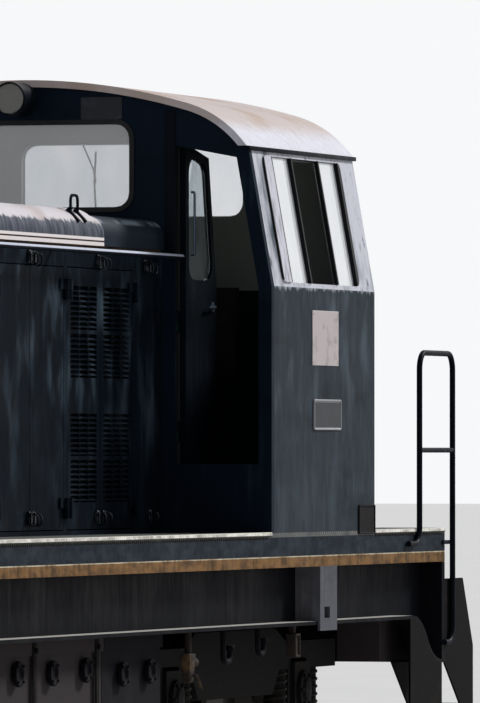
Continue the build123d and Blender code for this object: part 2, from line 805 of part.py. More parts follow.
# Radiator grilles and the cores behind them
with BuildPart() as radiator_grilles:
    for side in (1, -1):
        for grille_x in grille_starts:
            with BuildSketch(Plane.YZ.offset(grille_x + SEAT)) as slats:
                for slat_z in blades(GRILLE_BASE_Z, GRILLE_H, GRILLE_PITCH):
                    with BuildLine():
                        Polyline(
                            (side * HOOD_HALF, slat_z),
                            (side * HOOD_HALF, slat_z + BLADE_T),
                            (side * (HOOD_HALF - GRILLE_T), slat_z + BLADE_DROP),
                            (side * (HOOD_HALF - GRILLE_T), slat_z + BLADE_DROP - BLADE_T),
                            close=True,
                        )
                    make_face()
            extrude(amount=GRILLE_L - 2 * SEAT)
            inner_y = side * (HOOD_HALF - GRILLE_T)
            for bar_x in (grille_x + SEAT, grille_x + GRILLE_L / 2, grille_x + GRILLE_L - SEAT - GRILLE_T):
                block(
                    bar_x,
                    bar_x + GRILLE_T,
                    inner_y,
                    inner_y - side * (HOOD_WALL - GRILLE_T),
                    GRILLE_BASE_Z + SEAT,
                    GRILLE_BASE_Z + GRILLE_H - SEAT,
                )
    for slat_z in blades(GRILLE_BASE_Z, GRILLE_H, GRILLE_PITCH):
        block(
            HOOD_FRONT_X,
            HOOD_FRONT_X + GRILLE_T,
            SEAT - FRONT_GRILLE_HALF,
            FRONT_GRILLE_HALF - SEAT,
            slat_z,
            slat_z + BLADE_T,
        )
    for bar_y in (SEAT - FRONT_GRILLE_HALF, -GRILLE_T / 2, FRONT_GRILLE_HALF - SEAT - GRILLE_T):
        block(
            HOOD_FRONT_X + GRILLE_T,
            HOOD_FRONT_X + HOOD_WALL,
            bar_y,
            bar_y + GRILLE_T,
            GRILLE_BASE_Z + SEAT,
            GRILLE_BASE_Z + GRILLE_H - SEAT,
        )
keep(radiator_grilles, "radiator_grilles")

with BuildPart() as radiator_cores:
    core_out = HOOD_HALF - HOOD_WALL - CORE_GAP
    for side in (1, -1):
        block(
            grille_starts[-1],
            RADIATOR_END_X - GRILLE_GAP,
            side * (core_out - CORE_T),
            side * core_out,
            DECK_Z,
            GRILLE_BASE_Z + GRILLE_H,
        )
keep(radiator_cores, "radiator_cores")


def roof_section(x, top_z, rounding, inset):
    """Cross-section of a hood roof, pulled in by inset except at its foot."""
    half = HOOD_HALF + ROOF_PROUD - inset
    with BuildSketch(Plane.YZ.offset(x)) as section:
        with BuildLine():
            Line((-half, HOOD_TOP_Z), (half, HOOD_TOP_Z))
            Line((half, HOOD_TOP_Z), (half, top_z - rounding))
            RadiusArc((half, top_z - rounding), (half - rounding + inset, top_z - inset), -rounding + inset)
            Line((half - rounding + inset, top_z - inset), (rounding - inset - half, top_z - inset))
            RadiusArc((rounding - inset - half, top_z - inset), (-half, top_z - rounding), -rounding + inset)
            Line((-half, top_z - rounding), (-half, HOOD_TOP_Z))
        make_face()
    return section.sketch


# Hood roof: a long raised part with the fan opening, and a lower part next to the cab
low_start = CAB_X - LOW_ROOF_L
with BuildPart() as hood_roof:
    roof_front = HOOD_FRONT_X - ROOF_PROUD
    extrude(roof_section(roof_front, ROOF_TOP_Z, ROOF_ROUND, 0), amount=low_start - roof_front)
    top_rim = hood_roof.faces().sort_by(Axis.Z)[-1].edges().filter_by(Axis.Y)
    fillet(top_rim, ROOF_END_ROUND)
    low_inner = low_start - ROOF_END_ROUND
    extrude(roof_section(low_inner, LOW_ROOF_TOP_Z, LOW_ROOF_ROUND, 0), amount=CAB_X - low_inner)
    extrude(
        roof_section(HOOD_FRONT_X + HOOD_ROOF_T, LOW_ROOF_TOP_Z, LOW_ROOF_ROUND, HOOD_ROOF_T + ROOF_PROUD),
        amount=CAB_X - HOOD_FRONT_X - 2 * HOOD_ROOF_T,
        mode=Mode.SUBTRACT,
    )
    upright(FAN_X, 0, HOOD_TOP_Z, ROOF_TOP_Z, FAN_HOLE_R, mode=Mode.SUBTRACT)
    with Locations((STACK_X, 0, ROOF_TOP_Z)):
        Box(STACK_L + 2 * SEAT, 2 * (STACK_HALF + SEAT), 2 * ROOF_ROUND, mode=Mode.SUBTRACT)
keep(hood_roof, "hood_roof")

# Fan guard: a collar with a barred top and the fan's fixed shaft
with BuildPart() as fan_guard:
    upright(FAN_X, 0, ROOF_TOP_Z, ROOF_TOP_Z + COLLAR_H, FAN_HOLE_R + GUARD_RIM_W)
    upright(FAN_X, 0, ROOF_TOP_Z, ROOF_TOP_Z + COLLAR_H, FAN_HOLE_R, mode=Mode.SUBTRACT)
    bar_pitch = 2 * FAN_HOLE_R / (GUARD_BARS + 1)
    for number in range(GUARD_BARS):
        bar_y = bar_pitch * (number + 1) - FAN_HOLE_R
        half_chord = (FAN_HOLE_R**2 - bar_y**2) ** 0.5 + GUARD_RIM_W / 2
        with Locations((FAN_X, bar_y, ROOF_TOP_Z + COLLAR_H - GUARD_RIM_T / 2)):
            Box(2 * half_chord, GUARD_BAR_W, GUARD_RIM_T)
    with Locations((FAN_X, 0, ROOF_TOP_Z + COLLAR_H - GUARD_RIM_T / 2)):
        Box(GUARD_RIM_W, 2 * FAN_HOLE_R + GUARD_RIM_W, GUARD_RIM_T)
    upright(FAN_X, 0, FAN_TOP_Z, ROOF_TOP_Z + COLLAR_H - GUARD_RIM_T, FAN_SHAFT_R * 2)
    upright(FAN_X, 0, FAN_TOP_Z - FAN_HUB_H, FAN_TOP_Z, FAN_SHAFT_R)
keep(fan_guard, "fan_guard")

with BuildPart() as fan:
    hub_top = FAN_TOP_Z - FAN_GAP
    hub_mid = hub_top - FAN_HUB_H / 2
    blade_root = FAN_HUB_R - FAN_ROOT
    upright(FAN_X, 0, hub_top - FAN_HUB_H, hub_top, FAN_HUB_R)
    with Locations((FAN_X, 0, hub_mid)):
        with PolarLocations(0, FAN_BLADES):
            with Locations(Location(((FAN_R + blade_root) / 2, 0, 0), (FAN_PITCH, 0, 0))):
                Box(FAN_R - blade_root, FAN_BLADE_W, FAN_BLADE_T)
    upright(FAN_X, 0, hub_top - FAN_HUB_H, hub_top, FAN_SHAFT_R + RUNNING, mode=Mode.SUBTRACT)
keep(fan, "fan")

# Exhaust stack and the engine under it
with BuildPart() as exhaust_stack:
    block(
        STACK_X - STACK_L / 2,
        STACK_X + STACK_L / 2,
        -STACK_HALF,
        STACK_HALF,
        DECK_Z + ENGINE_H,
        STACK_TOP_Z,
    )
    block(
        STACK_X - STACK_L / 2 + STACK_WALL,
        STACK_X + STACK_L / 2 - STACK_WALL,
        STACK_WALL - STACK_HALF,
        STACK_HALF - STACK_WALL,
        ROOF_TOP_Z,
        STACK_TOP_Z,
        mode=Mode.SUBTRACT,
    )
keep(exhaust_stack, "exhaust_stack")

with BuildPart() as engine:
    block(ENGINE_X, ENGINE_X + ENGINE_L, -ENGINE_HALF, ENGINE_HALF, DECK_Z, DECK_Z + ENGINE_H)
    chamfer(engine.faces().sort_by(Axis.Z)[-1].edges().filter_by(Axis.X), ENGINE_CHAMFER)
keep(engine, "engine")

# Short hood behind the cab: a closed box with the low roof's section
with BuildPart() as short_hood:
    block(CAB_END_X, CAB_END_X + SHORT_HOOD_L, -HOOD_HALF, HOOD_HALF, DECK_Z, HOOD_TOP_Z)
    extrude(
        roof_section(CAB_END_X, LOW_ROOF_TOP_Z, LOW_ROOF_ROUND, 0),
        amount=SHORT_HOOD_L + ROOF_PROUD,
    )
    far_rim = short_hood.faces().sort_by(Axis.Z)[-1].edges().filter_by(Axis.Y).sort_by(Axis.X)[-1]
    fillet(far_rim, LOW_END_ROUND)
keep(short_hood, "short_hood")

# Handrails along the hood sides
with BuildPart() as hood_handrails:
    rail_y = HOOD_HALF + HOOD_RAIL_OFF
    for side in (1, -1):
        tube(
            (
                (CAB_X - SEAT, side * rail_y, HOOD_RAIL_Z),
                (HOOD_RAIL_START_X, side * rail_y, HOOD_RAIL_Z),
            ),
            RAIL_BEND,
            HOOD_RAIL_R,
        )
        for number in range(BRACKET_COUNT):
            bracket_x = BRACKET_X - BRACKET_PITCH * number
            block(
                bracket_x,
                bracket_x + 2 * HOOD_RAIL_R,
                side * HOOD_HALF,
                side * rail_y,
                HOOD_RAIL_Z - BRACKET_T / 2,
                HOOD_RAIL_Z + BRACKET_T / 2,
            )
keep(hood_handrails, "hood_handrails")


def cab_section(x, inset):
    """Cross-section of the cab from below the deck to the roof, pulled in by inset."""
    with BuildSketch(Plane.YZ.offset(x)) as section:
        with BuildLine():
            crown = ThreePointArc(
                (-SHOULDER_Y, SHOULDER_Z),
                (0, CROWN_Z),
                (SHOULDER_Y, SHOULDER_Z),
            )
            TangentArc((SHOULDER_Y, SHOULDER_Z), (EAVE_Y, EAVE_Z), tangent=crown % 1)
            Polyline(
                (EAVE_Y, EAVE_Z),
                (HALF_WIDTH, WAIST_Z),
                (HALF_WIDTH, DECK_Z / 2),
                (-HALF_WIDTH, DECK_Z / 2),
                (-HALF_WIDTH, WAIST_Z),
                (-EAVE_Y, EAVE_Z),
            )
            TangentArc(
                (-SHOULDER_Y, SHOULDER_Z),
                (-EAVE_Y, EAVE_Z),
                tangent=(crown % 0) * -1,
            )
        make_face()
        if inset:
            offset(amount=-inset, kind=Kind.INTERSECTION)
    return section.sketch


# Cab sides: vertical below the waist, leaning in above it, each with one wide window
side_start = CAB_X + CAB_WALL
side_length = CAB_LENGTH - 2 * CAB_WALL


def lean_plane(side, depth):
    """A plane on a side's leaning part, depth inside its outer face, with y up the slope."""
    normal = (0, -cos(LEAN), side * -sin(LEAN))
    origin_y = side * HALF_WIDTH + normal[1] * side * depth
    origin_z = WAIST_Z - sin(LEAN) * depth
    return Plane(origin=(CAB_X, origin_y, origin_z), x_dir=(1, 0, 0), z_dir=normal)


def window_outline(shrink, mode=Mode.ADD):
    """Draws a side window's rounded outline in the open sketch, pulled in by shrink."""
    with Locations((SIDE_WINDOW_X + SIDE_WINDOW_L / 2, SIDE_WINDOW_RISE + SIDE_WINDOW_H / 2)):
        RectangleRounded(
            SIDE_WINDOW_L - 2 * shrink,
            SIDE_WINDOW_H - 2 * shrink,
            SIDE_CORNER,
            mode=mode,
        )


for side, side_name in ((-1, "right"), (1, "left")):
    with BuildPart() as cab_side:
        extrude(cab_section(side_start, 0), amount=side_length)
        extrude(cab_section(side_start, CAB_WALL), amount=side_length, mode=Mode.SUBTRACT)
        split(bisect_by=Plane.XY.offset(DECK_Z), keep=Keep.TOP)
        split(bisect_by=Plane.XY.offset(EAVE_Z), keep=Keep.BOTTOM)
        split(bisect_by=Plane.XZ, keep=Keep.TOP if side < 0 else Keep.BOTTOM)
        with BuildSketch(lean_plane(side, 0)):
            window_outline(0)
        extrude(amount=CAB_WALL * 2, both=True, mode=Mode.SUBTRACT)
    keep(cab_side, f"cab_side_{side_name}")


def door_sketch(plane, inset, base_z=CAB_FLOOR_Z, rounding=0.0, shrink=0.0, headroom=0.0):
    """The doorway's outline pulled in by inset, with the plane's x measured out from the centre line.

    Headroom lowers the top at the hinge side, base_z cuts the outline off below a height, and
    rounding and shrink finish a window in it.
    """
    post_x = HALF_WIDTH - DOOR_POST
    with BuildSketch(plane) as outline:
        with BuildLine():
            Polyline(
                (DOORWAY_Y, CAB_FLOOR_Z),
                (post_x, CAB_FLOOR_Z),
                (post_x, WAIST_Z),
                (post_x - (DOOR_TOP_OUT_Z - WAIST_Z) * tan(LEAN), DOOR_TOP_OUT_Z),
                (DOORWAY_Y, DOOR_TOP_IN_Z - headroom),
                close=True,
            )
        make_face()
        if inset:
            offset(amount=-inset, kind=Kind.INTERSECTION)
        with Locations((DOORWAY_Y, base_z + CROWN_Z / 2)):
            Rectangle(4 * HALF_WIDTH, CROWN_Z, mode=Mode.INTERSECT)
        if rounding:
            fillet(outline.vertices(), rounding)
        if shrink:
            offset(amount=-shrink)
    return outline.sketch


# Cab end walls: a wide window over the hood and a doorway at one side
end_walls = (  # name, start of the wall, side of its doorway, half the window's width, its height
    ("cab_wall_hood_end", CAB_X, -1, 640.0, 480.0),
    ("cab_wall_far_end", CAB_END_X - CAB_WALL, 1, 685.0, 436.0),
)
for wall_name, wall_x, door_side, window_half, window_h in end_walls:
    with BuildPart() as end_wall:
        extrude(cab_section(wall_x, 0), amount=CAB_WALL)
        split(bisect_by=Plane.XY.offset(EAVE_Z), keep=Keep.BOTTOM)
        extrude(cab_section(wall_x, ROOF_T + SEAT), amount=CAB_WALL)
        split(bisect_by=Plane.XY.offset(DECK_Z), keep=Keep.TOP)
        with BuildSketch(Plane.YZ.offset(wall_x)) as end_window:
            with Locations((0, END_WINDOW_Z + window_h / 2)):
                RectangleRounded(2 * window_half, window_h, WINDOW_CORNER)
        extrude(amount=CAB_WALL, mode=Mode.SUBTRACT)
        doorway_plane = Plane(
            origin=(wall_x, 0, 0),
            x_dir=(0, door_side, 0),
            z_dir=(door_side, 0, 0),
        )
        extrude(door_sketch(doorway_plane, 0), amount=CAB_WALL, both=True, mode=Mode.SUBTRACT)
        inner_x = wall_x if door_side > 0 else wall_x + CAB_WALL
        stop_plane = doorway_plane.offset(CAB_WALL - DOOR_STOP_T if door_side > 0 else 0)
        stop_inset = DOOR_GAP + DOOR_STOP_LAP
        with BuildSketch(stop_plane) as door_stop:
            add(door_sketch(Plane.XY, 0))
            add(door_sketch(Plane.XY, stop_inset, headroom=DOOR_HEADROOM), mode=Mode.SUBTRACT)
        extrude(door_stop.sketch, amount=door_side * DOOR_STOP_T)
        hinge_x = inner_x - door_side * HINGE_OFF
        axis_y = door_side * DOORWAY_Y
        for hinge_z in CAB_HINGES:
            low_z = hinge_z - KNUCKLE_GAP - BARREL_H
            upright(hinge_x, axis_y, low_z, hinge_z - KNUCKLE_GAP, BARREL_R)
            upright(hinge_x, axis_y, low_z, hinge_z + BARREL_H, HINGE_PIN_R)
            block(
                inner_x,
                inner_x - door_side * (HINGE_OFF + STRAP_T / 2),
                axis_y,
                axis_y - door_side * STRAP_BACK,
                low_z,
                hinge_z - KNUCKLE_GAP,
            )
    keep(end_wall, wall_name)

# Cab roof: a curved shell that overhangs both end walls
with BuildPart() as cab_roof:
    extrude(cab_section(CAB_X - ROOF_LIP, 0), amount=CAB_LENGTH + 2 * ROOF_LIP)
    extrude(
        cab_section(CAB_X - ROOF_LIP, ROOF_T),
        amount=CAB_LENGTH + 2 * ROOF_LIP,
        mode=Mode.SUBTRACT,
    )
    split(bisect_by=Plane.XY.offset(EAVE_Z), keep=Keep.TOP)
keep(cab_roof, "cab_roof")

# Cab floor on joists
with BuildPart() as cab_floor:
    floor_start = CAB_X + CAB_WALL
    floor_end = CAB_END_X - CAB_WALL
    floor_half = HALF_WIDTH - CAB_WALL
    block(floor_start, floor_end, -floor_half, floor_half, CAB_FLOOR_Z - FLOOR_T, CAB_FLOOR_Z)
    for joist_y in (-JOIST_PITCH, 0, JOIST_PITCH):
        block(
            floor_start,
            floor_end,
            joist_y - JOIST_T / 2,
            joist_y + JOIST_T / 2,
            DECK_Z,
            CAB_FLOOR_Z - FLOOR_T,
        )
keep(cab_floor, "cab_floor")

# Window frames: four stiles in each side window, at mid-wall
with BuildPart() as window_frames:
    for side in (1, -1):
        with BuildSketch(lean_plane(side, (CAB_WALL - STILE_T) / 2)) as stiles:
            for stile_x, stile_w in SIDE_STILES:
                stile_mid = SIDE_WINDOW_X + stile_x + stile_w / 2
                with Locations((stile_mid, SIDE_WINDOW_RISE + SIDE_WINDOW_H / 2)):
                    Rectangle(stile_w, SIDE_WINDOW_H)
            window_outline(SEAT, mode=Mode.INTERSECT)
        extrude(amount=STILE_T)
keep(window_frames, "window_frames")

# Cab glass: fixed panes between the stiles, and the end windows
mid_wall = (CAB_WALL - GLASS_T) / 2
with BuildPart() as cab_glass:
    for side in (1, -1):
        with BuildSketch(lean_plane(side, mid_wall)) as side_glass:
            for number, (stile, next_stile) in enumerate(zip(SIDE_STILES, SIDE_STILES[1:])):
                pane_start = stile[0] + stile[1]
                pane_w = next_stile[0] - pane_start
                if number != OPEN_PANE:
                    pane_mid = SIDE_WINDOW_X + pane_start + pane_w / 2
                    with Locations((pane_mid, SIDE_WINDOW_RISE + SIDE_WINDOW_H / 2)):
                        Rectangle(pane_w - 2 * SEAT, SIDE_WINDOW_H - 2 * SEAT)
        extrude(amount=GLASS_T)
    for wall_name, wall_x, door_side, window_half, window_h in end_walls:
        with BuildSketch(Plane.YZ.offset(wall_x + mid_wall)) as end_glass:
            with Locations((0, END_WINDOW_Z + window_h / 2)):
                RectangleRounded(2 * (window_half - SEAT), window_h - 2 * SEAT, WINDOW_CORNER)
        extrude(amount=GLASS_T)
keep(cab_glass, "cab_glass")


def leaf_plane(hinge_x, side, swing):
    """A plane through a cab door's hinge axis, with x along the leaf and z out through its face."""
    along = (-side * sin(radians(swing)), side * cos(radians(swing)), 0)
    outward = (side * cos(radians(swing)), side * sin(radians(swing)), 0)
    axis_y = side * DOORWAY_Y
    origin = (hinge_x - along[0] * DOORWAY_Y, axis_y - along[1] * DOORWAY_Y, 0)
    return Plane(origin=origin, x_dir=along, z_dir=outward)


# Cab doors: hinged at their inboard edge, opening into the cab
cab_doors = (  # name, hinge place, side, how far it stands open
    ("cab_door_right", CAB_X + CAB_WALL + HINGE_OFF, -1, DOOR_SWING),
    ("cab_door_left", CAB_END_X - CAB_WALL - HINGE_OFF, 1, 0.0),
)
for door_name, hinge_x, side, swing in cab_doors:
    plane = leaf_plane(hinge_x, side, swing)
    with BuildPart() as cab_door:
        extrude(door_sketch(plane.offset(HINGE_OFF), DOOR_GAP, headroom=DOOR_HEADROOM), amount=LEAF_T)
        door_window = door_sketch(
            plane.offset(HINGE_OFF),
            DOOR_GAP + DOOR_WINDOW_EDGE,
            DOOR_WINDOW_Z,
            DOOR_WINDOW_CORNER,
            headroom=DOOR_HEADROOM,
        )
        extrude(door_window, amount=LEAF_T, mode=Mode.SUBTRACT)
        for hinge_z in CAB_HINGES:
            upright(hinge_x, side * DOORWAY_Y, hinge_z, hinge_z + BARREL_H, BARREL_R)
            with BuildSketch(plane.offset(HINGE_OFF - STRAP_T)) as strap:
                with Locations((DOORWAY_Y + STRAP_L / 2, hinge_z + BARREL_H / 2)):
                    Rectangle(STRAP_L - 2 * KNUCKLE_GAP, BARREL_H)
            extrude(amount=STRAP_T)
            upright(
                hinge_x,
                side * DOORWAY_Y,
                hinge_z,
                hinge_z + BARREL_H,
                HINGE_PIN_R + RUNNING,
                mode=Mode.SUBTRACT,
            )
    keep(cab_door, door_name)
    with BuildPart() as door_glass:
        pane = door_sketch(
            plane.offset(HINGE_OFF + (LEAF_T - GLASS_T) / 2),
            DOOR_GAP + DOOR_WINDOW_EDGE,
            DOOR_WINDOW_Z,
            DOOR_WINDOW_CORNER,
            SEAT,
            DOOR_HEADROOM,
        )
        extrude(pane, amount=GLASS_T)
    keep(door_glass, f"{door_name}_glass")

# Lamps: housings on the cab, the hood's front and the headstocks, with lenses seated in them
lamp_spots = (  # face the lamp stands on, y, z, radius, length, direction
    (CAB_X - CAB_LAMP_NECK, 0, CAB_LAMP_Z, CAB_LAMP_R, CAB_LAMP_L, -1),
    (HOOD_FRONT_X, 0, HEAD_LAMP_Z, HEAD_LAMP_R, HEAD_LAMP_L, -1),
    (CAB_END_X + SHORT_HOOD_L, 0, HEAD_LAMP_Z, HEAD_LAMP_R, HEAD_LAMP_L, 1),
    (-HEADSTOCK_X, -MARKER_Y, MARKER_Z, MARKER_R, MARKER_L, -1),
    (-HEADSTOCK_X, MARKER_Y, MARKER_Z, MARKER_R, MARKER_L, -1),
    (HEADSTOCK_X, -MARKER_Y, MARKER_Z, MARKER_R, MARKER_L, 1),
    (HEADSTOCK_X, MARKER_Y, MARKER_Z, MARKER_R, MARKER_L, 1),
)
with BuildPart() as lamp_housings:
    for face_x, lamp_y, lamp_z, lamp_r, lamp_l, facing in lamp_spots:
        lamp_plane = Plane(origin=(face_x, lamp_y, lamp_z), z_dir=(facing, 0, 0))
        with BuildSketch(lamp_plane) as rim:
            Circle(lamp_r)
        extrude(amount=lamp_l)
        with BuildSketch(lamp_plane.offset(lamp_l - LENS_DEPTH)) as bowl:
            Circle(lamp_r - LENS_T)
        extrude(amount=LENS_DEPTH, mode=Mode.SUBTRACT)
    with BuildSketch(Plane(origin=(CAB_X, 0, CAB_LAMP_Z), z_dir=(-1, 0, 0))):
        Circle(NECK_R)
    extrude(amount=CAB_LAMP_NECK)
keep(lamp_housings, "lamp_housings")

with BuildPart() as lamp_lenses:
    for face_x, lamp_y, lamp_z, lamp_r, lamp_l, facing in lamp_spots:
        lens_plane = Plane(origin=(face_x, lamp_y, lamp_z), z_dir=(facing, 0, 0))
        with BuildSketch(lens_plane.offset(lamp_l - LENS_DEPTH)) as lens:
            Circle(lamp_r - LENS_T - SEAT)
        extrude(amount=LENS_T)
keep(lamp_lenses, "lamp_lenses")

# Driver's desk and seats
with BuildPart() as driver_desk:
    side_plate(
        (
            (DESK_X, CAB_FLOOR_Z),
            (DESK_X + DESK_L, CAB_FLOOR_Z),
            (DESK_X + DESK_L, CAB_FLOOR_Z + DESK_H - DESK_SLOPE),
            (DESK_X + DESK_TOP_L, CAB_FLOOR_Z + DESK_H),
            (DESK_X, CAB_FLOOR_Z + DESK_H),
        ),
        DESK_Y,
        DESK_Y + DESK_W,
    )
keep(driver_desk, "driver_desk")

with BuildPart() as driver_seats:
    for seat_y in (SEAT_Y, -SEAT_Y):
        cushion_z = CAB_FLOOR_Z + SEAT_H
        upright(SEAT_X, seat_y, CAB_FLOOR_Z, cushion_z, PEDESTAL_R)
        with Locations((SEAT_X, seat_y, cushion_z + SEAT_PAD_T / 2)):
            Box(SEAT_W, SEAT_W, SEAT_PAD_T)
        with Locations((SEAT_X + (SEAT_W - SEAT_PAD_T) / 2, seat_y, cushion_z + SEAT_BACK_H / 2)):
            Box(SEAT_PAD_T, SEAT_W, SEAT_BACK_H)
keep(driver_seats, "driver_seats")

# Bogies
bogies = (("front", -PIVOT_X), ("rear", PIVOT_X))
frame_outline = (  # one half, along the frame from its middle, height
    (0, BOGIE_TOP_Z),
    (HALF_WHEELBASE - TOP_SLOPE_START, BOGIE_TOP_Z),
    (HALF_WHEELBASE - TOP_SLOPE_END, BOGIE_END_TOP_Z),
    (BOGIE_HALF, BOGIE_END_TOP_Z),
    (BOGIE_HALF, BOGIE_END_BASE_Z),
    (HALF_WHEELBASE + HORN_HALF + HORN_T, BOGIE_END_BASE_Z),
    (HALF_WHEELBASE + HORN_HALF + HORN_T, HORN_BASE_Z),
    (HALF_WHEELBASE + HORN_HALF, HORN_BASE_Z),
    (HALF_WHEELBASE + HORN_HALF, HORN_TOP_Z),
    (HALF_WHEELBASE - HORN_HALF, HORN_TOP_Z),
    (HALF_WHEELBASE - HORN_HALF, HORN_BASE_Z),
    (HALF_WHEELBASE - HORN_HALF - HORN_T, HORN_BASE_Z),
    (HALF_WHEELBASE - HORN_HALF - HORN_T, BOGIE_END_BASE_Z),
    (HALF_WHEELBASE - SPRING_REACH - SPRING_R - BELLY_SLOPE_START, BOGIE_END_BASE_Z),
    (HALF_WHEELBASE - SPRING_REACH - SPRING_R - BELLY_SLOPE_END, BOGIE_BELLY_Z),
    (0, BOGIE_BELLY_Z),
)
for bogie_name, pivot_x in bogies:
    with BuildPart() as bogie_frame:
        for direction in (1, -1):
            side_plate(
                [(pivot_x + direction * along, height) for along, height in frame_outline],
                SIDE_FRAME_Y,
                SIDE_FRAME_Y + SIDE_FRAME_T,
            )
        for level in (BOGIE_TOP_Z, BOGIE_BELLY_Z):
            cross_edges = bogie_frame.edges().filter_by(Axis.Y)
            fillet(cross_edges.filter_by_position(Axis.Z, level - 1, level + 1), FRAME_ROUND)
        for direction in (1, -1):
            end_x = pivot_x + direction * BOGIE_HALF
            block(
                end_x,
                end_x - direction * END_TRANSOM_L,
                0,
                SIDE_FRAME_Y - SEAT,
                BOGIE_END_BASE_Z,
                BOGIE_END_TOP_Z,
            )
        block(
            pivot_x - TRANSOM_HALF,
            pivot_x + TRANSOM_HALF,
            0,
            SIDE_FRAME_Y - SEAT,
            TRANSOM_BASE_Z,
            TRANSOM_TOP_Z,
        )
        mirror(about=Plane.XZ)
        upright(pivot_x, 0, TRANSOM_BASE_Z, TRANSOM_TOP_Z, PIN_R + RUNNING, mode=Mode.SUBTRACT)
    keep(bogie_frame, f"bogie_frame_{bogie_name}")

    with BuildPart() as axleboxes:
        for axle_x in (pivot_x - HALF_WHEELBASE, pivot_x + HALF_WHEELBASE):
            block(
                axle_x - HORN_HALF + SEAT,
                axle_x + HORN_HALF - SEAT,
                SIDE_FRAME_Y,
                SIDE_FRAME_Y + SIDE_FRAME_T + AXLEBOX_OUT,
                SPRING_BASE_Z - WING_T,
                AXLEBOX_TOP_Z,
            )
            block(
                axle_x - WING_L,
                axle_x + WING_L,
                SIDE_FRAME_Y,
                SIDE_FRAME_Y + SIDE_FRAME_T,
                SPRING_BASE_Z - WING_T,
                SPRING_BASE_Z,
            )
            with Locations(Location((axle_x, JOURNAL_END / 2 + RUNNING, AXLE_Z), (90, 0, 0))):
                Cylinder(JOURNAL_R + RUNNING, JOURNAL_END + 2 * RUNNING, mode=Mode.SUBTRACT)
            for spring_x in (axle_x - SPRING_REACH, axle_x + SPRING_REACH):
                upright(
                    spring_x,
                    SIDE_FRAME_Y + SIDE_FRAME_T / 2,
                    SPRING_BASE_Z,
                    BOGIE_END_BASE_Z,
                    SPRING_R,
                )
        mirror(about=Plane.XZ)
    keep(axleboxes, f"axleboxes_{bogie_name}")

    with BuildPart() as motors:
        for direction in (1, -1):
            motor_x = pivot_x + direction * TRANSOM_HALF
            block(
                motor_x,
                motor_x + direction * MOTOR_L,
                -MOTOR_HALF,
                MOTOR_HALF,
                MOTOR_BASE_Z,
                MOTOR_TOP_Z,
            )
    keep(motors, f"motors_{bogie_name}")

# Wheelsets: one revolved form each, journal to journal
wheel_out = BACK_Y + TYRE_W
disc_y = BACK_Y + (TYRE_W - DISC_T) / 2
rim_r = TREAD_R - RIM_T
half_wheelset = (  # distance from the middle, radius
    (JOURNAL_END, 0),
    (JOURNAL_END, JOURNAL_R),
    (JOURNAL_START, JOURNAL_R),
    (JOURNAL_START, AXLE_R),
    (wheel_out + HUB_OUT, AXLE_R),
    (wheel_out + HUB_OUT, HUB_R),
    (disc_y + DISC_T, HUB_R + DISC_FILLET),
    (disc_y + DISC_T, rim_r - DISC_FILLET),
    (wheel_out, rim_r),
    (wheel_out, TREAD_R - TREAD_TAPER),
    (BACK_Y + FLANGE_THICK, TREAD_R),
    (BACK_Y + FLANGE_TIP_OUT, FLANGE_R),
    (BACK_Y + FLANGE_TIP_IN, FLANGE_R),
    (BACK_Y, TREAD_R),
    (BACK_Y, rim_r),
    (disc_y, rim_r - DISC_FILLET),
    (disc_y, HUB_R + DISC_FILLET),
    (BACK_Y - HUB_IN, HUB_R),
    (BACK_Y - HUB_IN, AXLE_R),
)
other_half = tuple((-distance, radius) for distance, radius in reversed(half_wheelset))
for bogie_name, pivot_x in bogies:
    for axle_name, along in (("leading", -HALF_WHEELBASE), ("trailing", HALF_WHEELBASE)):
        axle_x = pivot_x + along
        with BuildPart() as wheelset:
            with BuildSketch(Plane(origin=(axle_x, 0, AXLE_Z), x_dir=(0, 1, 0), z_dir=(1, 0, 0))):
                with BuildLine():
                    Polyline(*half_wheelset, *other_half, close=True)
                make_face()
            revolve(axis=Axis((axle_x, 0, AXLE_Z), (0, 1, 0)))
        keep(wheelset, f"wheelset_{bogie_name}_{axle_name}")
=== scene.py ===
"""Looks of a four-axle diesel-electric road switcher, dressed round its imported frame.

Every length is in metres in the frame's own axes: +X towards the end that the cab is near, +Z up,
and -Y the side with the open cab door.
"""

import logging
import math
from dataclasses import dataclass
from enum import Enum
from typing import Callable, Iterable, Optional, Sequence, Union

import bpy
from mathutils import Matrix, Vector


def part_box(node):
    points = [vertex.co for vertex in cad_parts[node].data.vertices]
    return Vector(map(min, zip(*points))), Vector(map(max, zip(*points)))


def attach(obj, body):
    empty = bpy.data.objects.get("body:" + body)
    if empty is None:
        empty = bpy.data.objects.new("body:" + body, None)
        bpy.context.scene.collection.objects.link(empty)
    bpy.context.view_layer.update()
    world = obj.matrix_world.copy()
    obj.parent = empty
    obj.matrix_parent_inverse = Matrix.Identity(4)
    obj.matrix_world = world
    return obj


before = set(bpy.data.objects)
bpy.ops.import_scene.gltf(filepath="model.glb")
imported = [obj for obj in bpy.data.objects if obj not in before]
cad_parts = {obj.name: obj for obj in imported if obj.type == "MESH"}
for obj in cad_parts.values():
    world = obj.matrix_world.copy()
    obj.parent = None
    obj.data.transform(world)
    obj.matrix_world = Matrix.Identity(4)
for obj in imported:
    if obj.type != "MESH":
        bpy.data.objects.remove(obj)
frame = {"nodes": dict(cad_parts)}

LOG = logging.getLogger("locomotive")
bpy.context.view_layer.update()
MM = 0.001
CHASSIS = "chassis"

Point = Sequence[float]
Pairs = tuple[tuple[float, float], ...]
Socket = bpy.types.NodeSocket
Value = Union[Socket, str, float, Point]  # a link, a hex colour, a number or a vector


